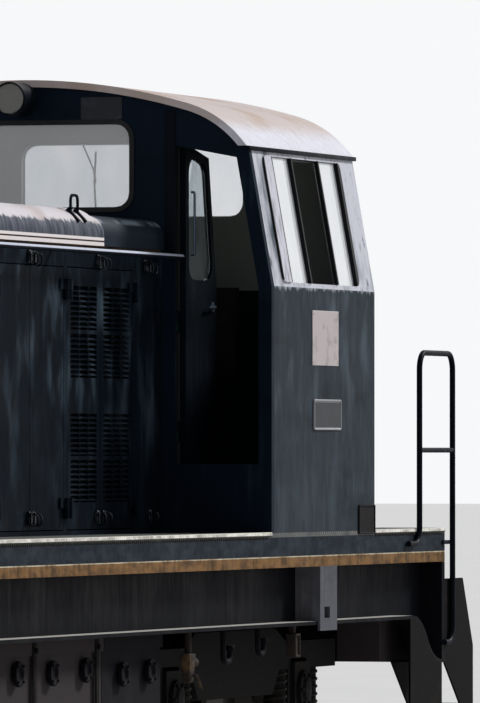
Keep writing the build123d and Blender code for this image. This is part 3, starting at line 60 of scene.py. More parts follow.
def linear(hex_colour: str) -> tuple[float, float, float, float]:
    """Turns an sRGB hex colour into linear values.

    Args:
        hex_colour: Six hex digits with a leading hash.

    Returns:
        Red, green and blue in linear light, and an alpha of 1.
    """
    channels = [int(hex_colour[start : start + 2], 16) / 255 for start in (1, 3, 5)]
    light = [c / 12.92 if c <= 0.04045 else ((c + 0.055) / 1.055) ** 2.4 for c in channels]
    return (*light, 1.0)


class Step(Enum):
    """The shader nodes in use: type, settings, inputs in the order they are given, and output."""

    MATERIAL = ("ShaderNodeOutputMaterial", {}, ("Surface",), None)
    WORLD = ("ShaderNodeOutputWorld", {}, ("Surface",), None)
    SURFACE = ("ShaderNodeBsdfPrincipled", {}, ("Base Color", "Roughness"), 0)
    PLACE = ("ShaderNodeTexCoord", {}, (), "Object")
    NORMAL = ("ShaderNodeNewGeometry", {}, (), "Normal")
    AXES = ("ShaderNodeSeparateXYZ", {}, (0,), 0)
    MAPPING = ("ShaderNodeMapping", {}, ("Vector", "Scale", "Rotation"), 0)
    NOISE = ("ShaderNodeTexNoise", {}, ("Vector", "Scale", "Detail", "Roughness"), "Fac")
    CHECKER = ("ShaderNodeTexChecker", {}, ("Vector", "Scale"), "Fac")
    BUMP = ("ShaderNodeBump", {}, ("Height", "Distance", "Strength"), 0)
    TIMES = ("ShaderNodeMath", {"operation": "MULTIPLY"}, (0, 1), 0)
    PLUS = ("ShaderNodeMath", {"operation": "ADD"}, (0, 1), 0)
    MINUS = ("ShaderNodeMath", {"operation": "SUBTRACT"}, (0, 1), 0)
    LARGER = ("ShaderNodeMath", {"operation": "MAXIMUM"}, (0, 1), 0)
    UNSIGNED = ("ShaderNodeMath", {"operation": "ABSOLUTE"}, (0,), 0)
    RANGE = ("ShaderNodeMapRange", {}, (0, 1, 2, 3, 4), 0)
    RAMP = ("ShaderNodeMapRange", {"interpolation_type": "SMOOTHSTEP"}, (0, 1, 2), 0)
    MIX = ("ShaderNodeMix", {"data_type": "RGBA"}, (0, 6, 7), 2)
    LIGHT_PATH = ("ShaderNodeLightPath", {}, (), 0)
    BACKGROUND = ("ShaderNodeBackground", {}, ("Color", "Strength"), 0)
    MIX_LIGHT = ("ShaderNodeMixShader", {}, (0, 1, 2), 0)


def fill(tree: bpy.types.NodeTree, entry: Socket, value: Value) -> None:
    """Gives one input of a node its link, colour, number or vector.

    Args:
        tree: The node tree.
        entry: The input.
        value: What it gets.
    """
    if isinstance(value, bpy.types.NodeSocket):
        tree.links.new(value, entry)
    else:
        entry.default_value = linear(value) if isinstance(value, str) else value


def add_node(tree: bpy.types.NodeTree, step: Step, *values: Value) -> Optional[Socket]:
    """Adds one shader node with its settings and links.

    Args:
        tree: The node tree.
        step: Which node it is.
        values: What its inputs get, in the step's order.

    Returns:
        The node's output, or None for a node that has none.
    """
    kind, settings, inputs, output = step.value
    node = tree.nodes.new(kind)
    for name, setting in settings.items():
        setattr(node, name, setting)
    for name, value in zip(inputs, values):
        fill(tree, node.inputs[name], value)
    return None if output is None else node.outputs[output]


class Shader:
    """A material in the making, with what the finishes share."""

    def __init__(self, name: str) -> None:
        """Starts an empty material.

        Args:
            name: The material's name.
        """
        self.material = bpy.data.materials.new(name)
        self.material.use_nodes = True
        self.tree = self.material.node_tree
        self.tree.nodes.clear()
        self.place = self.add(Step.PLACE)
        self.axes = self.add(Step.AXES, self.place).node.outputs

    def add(self, step: Step, *values: Value) -> Socket:
        """Adds one node to the material, as add_node does."""
        return add_node(self.tree, step, *values)

    def grain(self, size_mm: Point, detail: float = 3.0, rough: float = 0.55) -> Socket:
        """Lays out a noise pattern whose grain has a real size.

        Args:
            size_mm: The grain's size along X, Y and Z.
            detail: Number of finer octaves.
            rough: How strong the finer octaves are.

        Returns:
            The pattern's value, 0 to 1.
        """
        scale = tuple(1000.0 / size for size in size_mm)
        placed = self.add(Step.MAPPING, self.place, scale)
        return self.add(Step.NOISE, placed, 1.0, detail, rough)

    def facing_up(self, low: float, high: float) -> Socket:
        """How far the surface faces the sky, 0 below low and 1 above high.

        Args:
            low: The upward part of the normal where it starts.
            high: The upward part of the normal where it is full.

        Returns:
            The result.
        """
        upward = self.add(Step.AXES, self.add(Step.NORMAL)).node.outputs[2]
        return self.add(Step.RAMP, upward, low, high)

    def finish(
        self,
        colour: Value,
        rough: Value,
        bump: Optional[Socket] = None,
        depth_mm: float = 0.0,
        **others: Value,
    ) -> bpy.types.Material:
        """Adds the surface and joins everything to it.

        Args:
            colour: Its colour.
            rough: Its roughness.
            bump: A height socket, or None for a smooth surface.
            depth_mm: How deep the bump is.
            others: Other inputs of the surface, with underscores for spaces.

        Returns:
            The finished material.
        """
        surface = self.add(Step.SURFACE, colour, rough)
        self.inputs = surface.node.inputs
        if bump is not None:
            others["Normal"] = self.add(Step.BUMP, bump, depth_mm * MM, 1.0)
        for name, value in others.items():
            fill(self.tree, self.inputs[name.replace("_", " ")], value)
        self.add(Step.MATERIAL, surface)
        return self.material


@dataclass(frozen=True)
class Band:
    """A painted stripe between two heights.

    Attributes:
        low: Its lower edge.
        high: Its upper edge.
        colour: Its colour.
        fade: The colour that it has faded to in patches.
    """

    low: float
    high: float
    colour: str
    fade: str


@dataclass(frozen=True)
class WeatheredEnamel:
    """Brushed alkyd enamel on steel sheet, chalked by sun and rain.

    It gives a satin face with pale runs down it, pale where it faces the sky: sun-bleached paint on
    some finishes and a painted highlight on others.

    Attributes:
        name: The material's name.
        colour: The enamel where it is sound.
        chalk: The enamel where it has chalked.
        shade: Soot and grease in patches.
        bleach_and_highlight: The pale colour of surfaces that face the sky, sun-bleached paint on
            some finishes and a painted highlight on others, or an empty text.
        streak_mm: Spacing of the runs down the sheet.
        chalk_share: How much of the surface has chalked, 0 to 1.
        rough: Roughness of the sound enamel.
        bands: Stripes painted over it.
        dribble_z: Height of a ledge that has dribbled pale runs down the sheet, or 0 for none.
        gloss: How strongly it mirrors the sky; weathered enamel has lost most of it.
        lined: Whether its inner face is the cab's two-tone lining.
        painted_sheen: Colour of broad pale patches of painted reflection, where the sheet mirrors
            the sky, or an empty text.
    """

    name: str
    colour: str
    chalk: str
    shade: str
    bleach_and_highlight: str = ""
    streak_mm: float = 45.0
    chalk_share: float = 0.4
    rough: float = 0.42
    bands: tuple[Band, ...] = ()
    dribble_z: float = 0.0
    gloss: float = 0.02
    lined: bool = False
    painted_sheen: str = ""

    def build(self) -> bpy.types.Material:
        """Makes the material.

        Returns:
            The finished material.
        """
        shader = Shader(self.name)
        runs = shader.grain((self.streak_mm, self.streak_mm, self.streak_mm * 16), 4.0, 0.6)
        patches = shader.grain((520, 520, 380), 3.0, 0.5)
        fine = shader.grain((9, 9, 14), 2.0, 0.6)
        streaks = shader.add(Step.TIMES, runs, 0.55)
        worn = shader.add(Step.PLUS, streaks, shader.add(Step.TIMES, patches, 0.45))
        least, most = (edge - 0.25 * self.chalk_share for edge in (0.62, 0.80))
        chalked = shader.add(Step.RAMP, worn, least, most)
        colour = shader.add(Step.MIX, chalked, self.colour, self.chalk)
        soot = shader.add(Step.RAMP, shader.grain((900, 900, 260), 4.0, 0.6), 0.52, 0.72)
        colour = shader.add(Step.MIX, shader.add(Step.TIMES, soot, 0.55), colour, self.shade)
        for band in self.bands:
            colour = self.paint_band(shader, band, colour, runs, fine)
        if self.bleach_and_highlight:
            # Surfaces that face the sky take the bleach colour: sun-bleached paint on the cab's
            # sides, a painted highlight on the hood handrails, the sill's flange and the deck's
            # edge strip.
            sky = shader.facing_up(0.05, 0.14)
            ragged = shader.add(Step.RAMP, shader.grain((60, 60, 110), 4.0, 0.65), 0.20, 0.45)
            colour = shader.add(Step.MIX, shader.add(Step.TIMES, sky, ragged), colour, self.bleach_and_highlight)
        if self.dribble_z:
            colour = self.dribble(shader, colour, runs)
        if self.painted_sheen:
            # Painted reflection: broad pale patches where the sheet mirrors the sky, stronger
            # higher up.
            broad = shader.add(Step.RAMP, shader.grain((210, 210, 480), 3.0, 0.5), 0.46, 0.78)
            higher = shader.add(Step.RAMP, shader.axes[2], 1.500, 2.900)
            sheen_amount = shader.add(Step.TIMES, broad, shader.add(Step.PLUS, higher, 0.25))
            colour = shader.add(Step.MIX, sheen_amount, colour, self.painted_sheen)
        if self.lined:
            colour = self.line_inside(shader, colour)
        rough = shader.add(Step.RANGE, worn, 0.3, 0.7, self.rough - 0.08, self.rough + 0.22)
        waves = shader.add(Step.TIMES, shader.grain((170, 170, 230), 2.0, 0.5), 5.5)
        dents = shader.add(Step.PLUS, waves, shader.add(Step.TIMES, fine, 0.25))
        return shader.finish(colour, rough, dents, 1.2, Specular_IOR_Level=self.gloss)

    def dribble(self, shader: Shader, above: Socket, runs: Socket) -> Socket:
        """Lets pale dirt run down the sheet from the ledge at dribble_z.

        Args:
            shader: The material being built.
            above: The colour without the dirt.
            runs: The pattern of runs down the sheet.

        Returns:
            The colour with the dirt on it.
        """
        ledge = self.dribble_z
        reach = shader.add(Step.MINUS, shader.axes[2], shader.add(Step.TIMES, runs, 0.12))
        run_down = shader.add(Step.RAMP, reach, ledge - 0.075, ledge - 0.045)
        below = shader.add(Step.RAMP, shader.axes[2], ledge + 0.002, ledge - 0.002)
        return shader.add(Step.MIX, shader.add(Step.TIMES, run_down, below), above, "#9ba0a8")

    def line_inside(self, shader: Shader, outside: Socket) -> Socket:
        """Paints the faces inside the cab: pale above the belt rail and dark green below it.

        Args:
            shader: The material being built.
            outside: The colour of the outer face.

        Returns:
            The colour with the lining on the inner face.
        """
        across = shader.add(Step.UNSIGNED, shader.axes[1])
        lean = shader.add(Step.TIMES, shader.add(Step.RAMP, shader.axes[2], 2.890, 3.680), 0.140)
        within = shader.add(Step.RAMP, shader.add(Step.PLUS, across, lean), 1.452, 1.450)
        for low, high in ((3.320, 3.322), (5.250, 5.248)):  # just inside the two end walls
            between = shader.add(Step.RAMP, shader.axes[0], low, high)
            within = shader.add(Step.TIMES, within, between)
        above_rail = shader.add(Step.RAMP, shader.axes[2], 2.900, 2.902)
        lining = shader.add(Step.MIX, above_rail, "#0f211f", "#878c86")
        return shader.add(Step.MIX, within, outside, lining)

    def paint_band(
        self, shader: Shader, band: Band, under: Socket, runs: Socket, fine: Socket
    ) -> Socket:
        """Paints one stripe over the colour below it.

        Args:
            shader: The material being built.
            band: The stripe.
            under: The colour below it.
            runs: The pattern of runs down the sheet.
            fine: The fine grain, for a slightly uneven edge.

        Returns:
            The colour with the stripe on it.
        """
        height = shader.add(Step.PLUS, shader.axes[2], shader.add(Step.TIMES, fine, 0.003))
        above = shader.add(Step.RAMP, height, band.low, band.low + 0.002)
        below = shader.add(Step.RAMP, height, band.high + 0.002, band.high)
        soiling = shader.add(Step.TIMES, shader.grain((150, 150, 70), 5.0, 0.62), 0.75)
        soiled = shader.add(Step.PLUS, soiling, shader.add(Step.TIMES, runs, 0.25))
        faded = shader.add(Step.RAMP, soiled, 0.40, 0.64)
        stripe = shader.add(Step.MIX, faded, band.colour, band.fade)
        return shader.add(Step.MIX, shader.add(Step.TIMES, above, below), under, stripe)


@dataclass(frozen=True)
class SunBleachedRoof:
    """Roof enamel gone to a pale bloom on top, with a ragged grey edge where rain has run off.

    It gives a chalky, cloudy crown with pale runs at its shoulders.

    Attributes:
        name: The material's name.
        pale: The bloom on top.
        edge: The grey below the bloom.
        edge_z: Height of the ragged line between them.
        band_z: Height below which the flat drip band is pale again, or 0 for none.
        clouds: Darker patches in the bloom.
        dark_from: Where a part along X starts that is painted dark, its enamel with the cab's
            shadow painted in, or 0 for none.
        dark: That colour, enamel and painted shadow together.
        streak: Paler runs in the grey.
        soft: Half the height over which the bloom fades into it.
        crown_z: Height of the dark part's crown edge, which is rubbed pale and carries a painted
            highlight.
    """

    name: str
    pale: str
    edge: str
    edge_z: float
    band_z: float
    clouds: str = "#b7ab9d"
    dark_from: float = 0.0
    dark: str = "#1a232e"
    streak: str = "#6c707a"
    soft: float = 0.009
    crown_z: float = 3.236

    def build(self) -> bpy.types.Material:
        """Makes the material.

        Returns:
            The finished material.
        """
        shader = Shader(self.name)
        runs = shader.grain((38, 38, 600), 4.0, 0.65)
        clouds = shader.grain((420, 420, 420), 4.0, 0.55)
        line = shader.add(Step.PLUS, shader.axes[2], shader.add(Step.TIMES, runs, 0.07))
        mid = self.edge_z + 0.035  # the runs lift the line by half of 0.07 on average
        top = shader.add(Step.RAMP, line, mid - self.soft, mid + self.soft)
        cloudy = shader.add(Step.RAMP, clouds, 0.40, 0.75)
        pale = shader.add(Step.MIX, cloudy, self.pale, self.clouds)
        streaky = shader.add(Step.RAMP, runs, 0.35, 0.65)
        grey = shader.add(Step.MIX, streaky, self.edge, self.streak)
        colour = shader.add(Step.MIX, top, grey, pale)
        if self.band_z:
            colour = self.drip_band(shader, colour)
        if self.dark_from:
            # The low part next to the cab is painted dark: its enamel with the cab's shadow painted
            # in.
            ends = (self.dark_from - 0.001, self.dark_from + 0.001)
            low_part = shader.add(Step.RAMP, shader.axes[0], *ends)
            colour = shader.add(Step.MIX, low_part, colour, self.shaded_low_enamel(shader, clouds))
        fine = shader.grain((12, 12, 12), 3.0, 0.6)
        return shader.finish(colour, 0.60, fine, 0.5, Specular_IOR_Level=0.05)

    def drip_band(self, shader: Shader, above: Socket) -> Socket:
        """Paints the pale drip band and the dark gap along it.

        Args:
            shader: The material being built.
            above: The colour of the roof.

        Returns:
            The colour with the band on it.
        """
        drip = shader.add(Step.RAMP, shader.axes[2], self.band_z + 0.002, self.band_z)
        colour = shader.add(Step.MIX, drip, above, "#ece4e2")
        offset = shader.add(Step.MINUS, shader.axes[2], self.band_z - 0.020)
        gap = shader.add(Step.RAMP, shader.add(Step.UNSIGNED, offset), 0.006, 0.003)
        return shader.add(Step.MIX, gap, colour, "#2a1d1a")

    def shaded_low_enamel(self, shader: Shader, clouds: Socket) -> Socket:
        """Makes the dark colour of the low part, its enamel with the cab's shadow painted in,
        rubbed pale and given a painted highlight along its crown's edge.

        Args:
            shader: The material being built.
            clouds: The pattern of patches.

        Returns:
            The low part's colour.
        """
        # Painted highlight along the crown's rounded edge, in patches where the paint is rubbed.
        offset = shader.add(Step.MINUS, shader.axes[2], self.crown_z)
        crown = shader.add(Step.RAMP, shader.add(Step.UNSIGNED, offset), 0.022, 0.004)
        patchy = shader.add(Step.RAMP, clouds, 0.42, 0.58)
        worn = shader.add(Step.TIMES, shader.add(Step.TIMES, crown, patchy), 0.7)
        return shader.add(Step.MIX, worn, self.dark, "#9aa4b2")


@dataclass(frozen=True)
class GrimyCasting:
    """Cast or forged steel under soot, oil and brake dust.

    It gives a dull, gritty, nearly black face with rust in patches.

    Attributes:
        name: The material's name.
        colour: The soot.
        rust: Rust that shows through in patches.
        rust_share: How much rust shows, 0 to 1.
        rough: Roughness of the soot.
        dust: Dry dust in its grain.
    """

    name: str
    colour: str
    rust: str
    rust_share: float = 0.3
    rough: float = 0.7
    dust: str = "#39342f"

    def build(self) -> bpy.types.Material:
        """Makes the material.

        Returns:
            The finished material.
        """
        shader = Shader(self.name)
        patches = shader.grain((180, 180, 140), 5.0, 0.62)
        grit = shader.grain((7, 7, 7), 3.0, 0.6)
        least, most = (edge - 0.3 * self.rust_share for edge in (0.68, 0.84))
        rusty = shader.add(Step.RAMP, patches, least, most)
        dusty = shader.add(Step.RAMP, grit, 0.45, 0.8)
        soot = shader.add(Step.MIX, dusty, self.colour, self.dust)
        colour = shader.add(Step.MIX, rusty, soot, self.rust)
        return shader.finish(colour, self.rough, grit, 0.8, Specular_IOR_Level=0.03)


@dataclass(frozen=True)
class RolledSteel:
    """A forged and rolled wheelset: rust on the disc, bright steel on the tread.

    It gives a dull brown face with a pale ring where it runs on the rail.

    Attributes:
        name: The material's name.
        rust: Colour of the disc.
        bright: Colour of the tread.
    """

    name: str
    rust: str
    bright: str

    def build(self) -> bpy.types.Material:
        """Makes the material.

        Returns:
            The finished material.
        """
        shader = Shader(self.name)
        grit = shader.grain((30, 30, 30), 5.0, 0.65)
        sideways = shader.add(Step.AXES, shader.add(Step.NORMAL)).node.outputs[1]
        flat = shader.add(Step.RAMP, shader.add(Step.UNSIGNED, sideways), 0.25, 0.12)
        across = shader.add(Step.UNSIGNED, shader.axes[1])
        inner = shader.add(Step.RAMP, across, 0.695, 0.70)
        outer = shader.add(Step.RAMP, across, 0.816, 0.812)
        tread = shader.add(Step.TIMES, flat, shader.add(Step.TIMES, inner, outer))
        rusty = shader.add(Step.RAMP, grit, 0.35, 0.65)
        rust = shader.add(Step.MIX, rusty, self.rust, "#1d1917")
        colour = shader.add(Step.MIX, tread, rust, self.bright)
        return shader.finish(colour, 0.55, grit, 0.6, Metallic=0.35)


@dataclass(frozen=True)
class ClearPane:
    """Float glass with a little dust on it.

    It gives a clear pane that mirrors the sky, and a whitish one over a span of panes, where a dust
    film and the sky's reflection are painted in.

    Attributes:
        name: The material's name.
        tint: The glass's colour.
        dust: The dust on it.
        rough: How hazy the film makes it.
        clear: How much light it lets through.
        bend: Its refractive index, set high for the strong sky reflection at a low angle.
        dust_and_reflection_span: Where the whitish panes start and end along X, or zeros for none;
            their whiteness is dust with a painted reflection of the sky.
        dust_and_reflection_clear: How much light those let through.
    """

    name: str
    tint: str
    dust: str
    rough: float = 0.05
    clear: float = 0.85
    bend: float = 1.75
    dust_and_reflection_span: tuple[float, float] = (0.0, 0.0)
    dust_and_reflection_clear: float = 0.45

    def build(self) -> bpy.types.Material:
        """Makes the material.

        Returns:
            The finished material.
        """
        shader = Shader(self.name)
        hazy = shader.add(Step.RAMP, shader.grain((160, 160, 260), 4.0, 0.6), 0.35, 0.75)
        colour = shader.add(Step.MIX, hazy, self.tint, self.dust)
        constants = {"Transmission_Weight": self.clear, "IOR": self.bend}
        material = shader.finish(colour, self.rough, **constants)
        start, end = self.dust_and_reflection_span
        # Panes in the span let less light through and show their whitish colour: dust with a
        # painted reflection of the sky.
        if end > 0.0:
            after = shader.add(Step.RAMP, shader.axes[0], start - 0.01, start)
            before = shader.add(Step.RAMP, shader.axes[0], end + 0.01, end)
            whitened = shader.add(Step.TIMES, after, before)
            drop = shader.add(Step.TIMES, whitened, self.dust_and_reflection_clear - self.clear)
            clear = shader.add(Step.PLUS, drop, self.clear)
            fill(shader.tree, shader.inputs["Transmission Weight"], clear)
        return material


@dataclass(frozen=True)
class ChequerPlate:
    """Rolled steel floor plate with raised lozenges, worn pale on top.

    It gives a fine diagonal pattern of pale and dark, bare where feet have been.

    Attributes:
        name: The material's name.
        paint: Paint left between the lozenges.
        worn: Steel worn bare on them.
        pitch_mm: Spacing of the lozenges.
    """

    name: str
    paint: str
    worn: str
    pitch_mm: float = 28.0

    def build(self) -> bpy.types.Material:
        """Makes the material.

        Returns:
            The finished material.
        """
        shader = Shader(self.name)
        scale = (1000 / self.pitch_mm,) * 3
        diagonal = (0.0, 0.0, math.radians(45))
        turned = shader.add(Step.MAPPING, shader.place, scale, diagonal)
        lozenges = shader.add(Step.CHECKER, turned, 1.0)
        trodden = shader.add(Step.RAMP, shader.grain((300, 300, 300), 4.0, 0.6), 0.3, 0.6)
        bare = shader.add(Step.TIMES, lozenges, trodden)
        colour = shader.add(Step.MIX, bare, self.paint, self.worn)
        return shader.finish(colour, 0.6, lozenges, 1.5, Specular_IOR_Level=0.2)


@dataclass(frozen=True)
class SashEnamel:
    """Steel sash sections in black enamel, with the wide blank section painted pale.

    It gives thin dark lines between panes and a dull pale strip at the door end.

    Attributes:
        name: The material's name.
        frame: The enamel of the sections.
        blank: The enamel of the blank section.
        stain: What has run down the blank section.
        start: Where the blank section starts along X.
        end: Where it ends.
        edge: Width of the dark seal at each side of it.
    """

    name: str
    frame: str
    blank: str
    stain: str
    start: float
    end: float
    edge: float = 0.014

    def build(self) -> bpy.types.Material:
        """Makes the material.

        Returns:
            The finished material.
        """
        shader = Shader(self.name)
        runs = shader.grain((30, 30, 400), 4.0, 0.6)
        first, last = self.start + self.edge, self.end - self.edge
        after = shader.add(Step.RAMP, shader.axes[0], first, first + 0.002)
        before = shader.add(Step.RAMP, shader.axes[0], last, last - 0.002)
        stained = shader.add(Step.RAMP, runs, 0.45, 0.70)
        pale = shader.add(Step.MIX, stained, self.blank, self.stain)
        inside = shader.add(Step.TIMES, after, before)
        colour = shader.add(Step.MIX, inside, self.frame, pale)
        return shader.finish(colour, 0.5, runs, 0.2, Specular_IOR_Level=0.1)


@dataclass(frozen=True)
class PlainFinish:
    """A small plain finish with a fine grain, for rubber, vinyl, linings and lamp parts.

    It gives one even tone that is a little worn in patches.

    Attributes:
        name: The material's name.
        colour: Its colour.
        worn: Its colour where it is worn.
        rough: Its roughness.
        metallic: 1 for bare metal.
        grain_mm: Size of its grain.
    """

    name: str
    colour: str
    worn: str
    rough: float
    metallic: float = 0.0
    grain_mm: float = 4.0

    def build(self) -> bpy.types.Material:
        """Makes the material.

        Returns:
            The finished material.
        """
        shader = Shader(self.name)
        fine = shader.grain((self.grain_mm,) * 3, 3.0, 0.6)
        wear = shader.add(Step.RAMP, shader.grain((90, 90, 90), 4.0, 0.6), 0.5, 0.75)
        colour = shader.add(Step.MIX, wear, self.colour, self.worn)
        others = {"Metallic": self.metallic, "Specular_IOR_Level": 0.2}
        return shader.finish(colour, self.rough, fine, 0.25, **others)


class Finish(Enum):
    """Every finish on the locomotive, by what it is on."""

    BODY = WeatheredEnamel(
        "body_enamel",
        "#2a3138",
        "#3c464e",
        "#181e24",
        bleach_and_highlight="#c6c7d0",
        chalk_share=0.40,
        streak_mm=70.0,
        dribble_z=2.890,
        lined=True,
        painted_sheen="#4b555e",
    )
    # Painted shade: the cab's enamel darkened to its tone in shade, for the wall over the hood that
    # faces away from the key lamp.
    CAB_END = WeatheredEnamel(
        "cab_end_shaded_enamel", "#121c28", "#202d39", "#0a1018", chalk_share=0.35, lined=True
    )
    CAB_DOOR = WeatheredEnamel("cab_door_enamel", "#0b1118", "#161f28", "#06090d", chalk_share=0.35)
    HOOD = WeatheredEnamel(
        "hood_enamel",
        "#0d131a",
        "#1b242d",
        "#06090d",
        chalk_share=0.35,
        gloss=0.008,
        painted_sheen="#2b353f",
        bands=(Band(3.076, 3.094, "#4f3e2b", "#2b2420"),),
    )
    HOOD_DOOR = WeatheredEnamel(
        "hood_door_enamel",
        "#0b1118",
        "#161e27",
        "#05070b",
        chalk_share=0.30,
        rough=0.30,
        gloss=0.008,
        painted_sheen="#3c4853",
    )
    SILL = WeatheredEnamel(
        "sill_enamel",
        "#101115",
        "#16171b",
        "#0a0a0d",
        # The bleach colour here is a painted highlight along the top of the bottom flange.
        bleach_and_highlight="#b5b2ad",
        chalk_share=0.3,
        gloss=0.012,
        bands=(
            Band(1.365, 1.480, "#1c2229", "#2c343c"),
            Band(1.300, 1.365, "#80603e", "#4f3d2c"),
            # Painted highlight: a thin pale line along the top edge of the ochre stripe.
            Band(1.361, 1.367, "#c3bca9", "#8d7450"),
        ),
    )
    CENTRE = GrimyCasting("centre_frame_paint", "#15161a", "#2a2019", 0.2)
    BRACKET = WeatheredEnamel("bracket_enamel", "#54555b", "#717276", "#38383d", chalk_share=0.5)
    HOOD_ROOF = SunBleachedRoof(
        "hood_roof_bloom",
        "#cbc6ca",
        "#363a44",
        edge_z=3.222,
        band_z=3.138,
        clouds="#b3a5a2",
        # From here to the cab the roof is painted dark, with the cab's shadow painted in.
        dark_from=2.200,
        streak="#5d616c",
    )
    CAB_ROOF = SunBleachedRoof(
        "cab_roof_bloom",
        "#c6bab6",
        "#d8d7e0",
        edge_z=3.800,
        band_z=0.0,
        clouds="#b29a88",
        streak="#cdccd5",
        soft=0.050,
    )
    DECK = ChequerPlate("chequer_plate", "#2b2f34", "#6f6e68")
    BLACK = WeatheredEnamel(
        "black_enamel", "#0f131a", "#252b35", "#080a0e", chalk_share=0.3, rough=0.35
    )
    RAIL = WeatheredEnamel(
        "rail_enamel",
        "#12161d",
        "#262d37",
        "#0a0c10",
        # The bleach colour here is a painted highlight along the top of the hood handrails.
        bleach_and_highlight="#c4c9d8",
        streak_mm=12.0,
        chalk_share=0.3,
    )
    HANDRAIL = PlainFinish("handrail_gloss", "#465464", "#7b8794", 0.22, metallic=0.6)
    BOX = GrimyCasting("tank_paint", "#343033", "#40312f", 0.35, 0.75)
    BATTERY = GrimyCasting("battery_box_paint", "#121216", "#1f1a1d", 0.35, 0.75, dust="#1d1b1d")
    LATCH = PlainFinish("latch_steel", "#1d2127", "#878d94", 0.30, metallic=0.7)
    BOGIE = GrimyCasting("bogie_grime", "#0e0e0f", "#271e19", 0.25, 0.75)
    SPRING = GrimyCasting("spring_steel", "#1d1c1a", "#332a22", 0.3, 0.5)
    WHEEL = RolledSteel("wheelset_steel", "#231c19", "#8b8782")
    GRILLE = WeatheredEnamel("grille_enamel", "#12171c", "#252d33", "#0a0d10", chalk_share=0.3)
    MACHINE = GrimyCasting("machine_metal", "#1f1e1b", "#3a2f27", 0.3, 0.5)
    BUFFER = GrimyCasting("buffer_steel", "#18181a", "#3f3730", 0.3, 0.5)
    COCK = GrimyCasting("cock_primer", "#2a2522", "#5d4a36", 0.55, 0.7, dust="#4a4440")
    LINING = PlainFinish("cab_lining", "#4f5a5c", "#434b4b", 0.6)
    SEAT = PlainFinish("seat_vinyl", "#15161a", "#2a2a2c", 0.5, grain_mm=2.0)
    # The side panes between X 3.600 and 5.000 are whitish: dust with a painted reflection of the
    # sky.
    GLASS = ClearPane(
        "cab_glass", "#f3f6f8", "#fbfbfd", 0.02, 0.86, 1.8, dust_and_reflection_span=(3.600, 5.000), dust_and_reflection_clear=0.20
    )
    END_GLASS = ClearPane("end_window_glass", "#e4eef2", "#cfd8dc", 0.02, 0.95, 1.45)
    LENS = ClearPane("lamp_glass", "#f4f2e6", "#e4e0cf", 0.10, 0.85, 1.5)
    SASH = SashEnamel("sash_enamel", "#0c0d10", "#c9c8d2", "#8d8c95", 3.500, 3.665)
    RUBBER = PlainFinish("window_rubber", "#0b0c0e", "#1b1c1e", 0.65)
    PLATE = PlainFinish("plate_enamel", "#8f8f93", "#75767b", 0.45)
    PLATE_FIELD = PlainFinish("plate_field", "#161a20", "#23282f", 0.5)
    PANEL = PlainFinish("panel_enamel", "#b5abaa", "#978f90", 0.5)
    STEP = GrimyCasting("step_plate_paint", "#08080a", "#1c130f", 0.45, 0.75, dust="#151313")
    TREAD = WeatheredEnamel(
        "worn_tread",
        "#34332f",
        "#55534b",
        "#201f1c",
        # The bleach colour here is worn steel with a painted highlight on the strip's top.
        bleach_and_highlight="#d9d6c8",
        streak_mm=14.0,
        chalk_share=0.4,
        # The pale band along the strip's upper edge is worn steel with a painted highlight.
        bands=(Band(1.487, 1.510, "#efece4", "#a9a69c"),),
    )
    FILTER = PlainFinish("filter_mat", "#0c0b0d", "#1d1615", 0.9, grain_mm=3.0)


class Paintshop:
    """Makes each finish once and puts it on pieces."""

    def __init__(self) -> None:
        """Starts with no finish made."""
        self.made: dict[Finish, bpy.types.Material] = {}

    def coat(self, piece: bpy.types.Object, finish: Finish) -> None:
        """Puts one finish on a whole piece.

        Args:
            piece: The piece.
            finish: Its finish.
        """
        if finish not in self.made:
            self.made[finish] = finish.value.build()
        if piece.data.materials:
            for number in range(len(piece.data.materials)):
                piece.data.materials[number] = self.made[finish]
        else:
            piece.data.materials.append(self.made[finish])


SHOP = Paintshop()

# Nodes of the frame by finish; a name that ends with an underscore stands for all that start so.
CAD_FINISHES: dict[Finish, tuple[str, ...]] = {
    Finish.SILL: ("side_sills", "headstocks"),
    Finish.CENTRE: ("keel_beams", "cross_members", "bolsters"),
    Finish.BRACKET: ("jacking_brackets",),
    Finish.DECK: ("deck",),
    Finish.BOX: ("fuel_tank", "sandboxes"),
    Finish.BATTERY: ("battery_box",),
    Finish.BUFFER: ("buffers", "draw_hooks"),
    Finish.STEP: ("end_steps",),
    Finish.BLACK: ("end_handrails", "fan_guard", "lamp_housings"),
    Finish.RAIL: ("hood_handrails",),
    Finish.HOOD: ("short_hood", "hood_end_walls", "hood_side_"),
    Finish.HOOD_DOOR: ("hood_door_",),
    Finish.HOOD_ROOF: ("hood_roof",),
    Finish.GRILLE: ("radiator_grilles",),
    Finish.MACHINE: ("radiator_cores", "fan", "exhaust_stack", "engine"),
    Finish.CAB_END: ("cab_wall_hood_end",),
    Finish.BODY: ("cab_wall_far_end", "cab_side_", "cab_door_left"),
    Finish.CAB_DOOR: ("cab_door_right",),
    Finish.CAB_ROOF: ("cab_roof",),
    Finish.LINING: ("cab_floor", "driver_desk"),
    Finish.SEAT: ("driver_seats",),
    Finish.SASH: ("window_frames",),
    Finish.GLASS: ("cab_glass",),
    Finish.END_GLASS: ("cab_door_right_glass", "cab_door_left_glass"),
    Finish.LENS: ("lamp_lenses",),
    Finish.BOGIE: ("bogie_frame_", "axleboxes_", "motors_"),
    Finish.WHEEL: ("wheelset_",),
}


def dress_frame() -> None:
    """Puts a finish on every node of the frame."""
    for name, piece in frame["nodes"].items():
        for finish, owners in CAD_FINISHES.items():
            starts = tuple(owner for owner in owners if owner.endswith("_"))
            if name in owners or name.startswith(starts):
                SHOP.coat(piece, finish)
                break
        else:
            LOG.warning("no finish for %s", name)


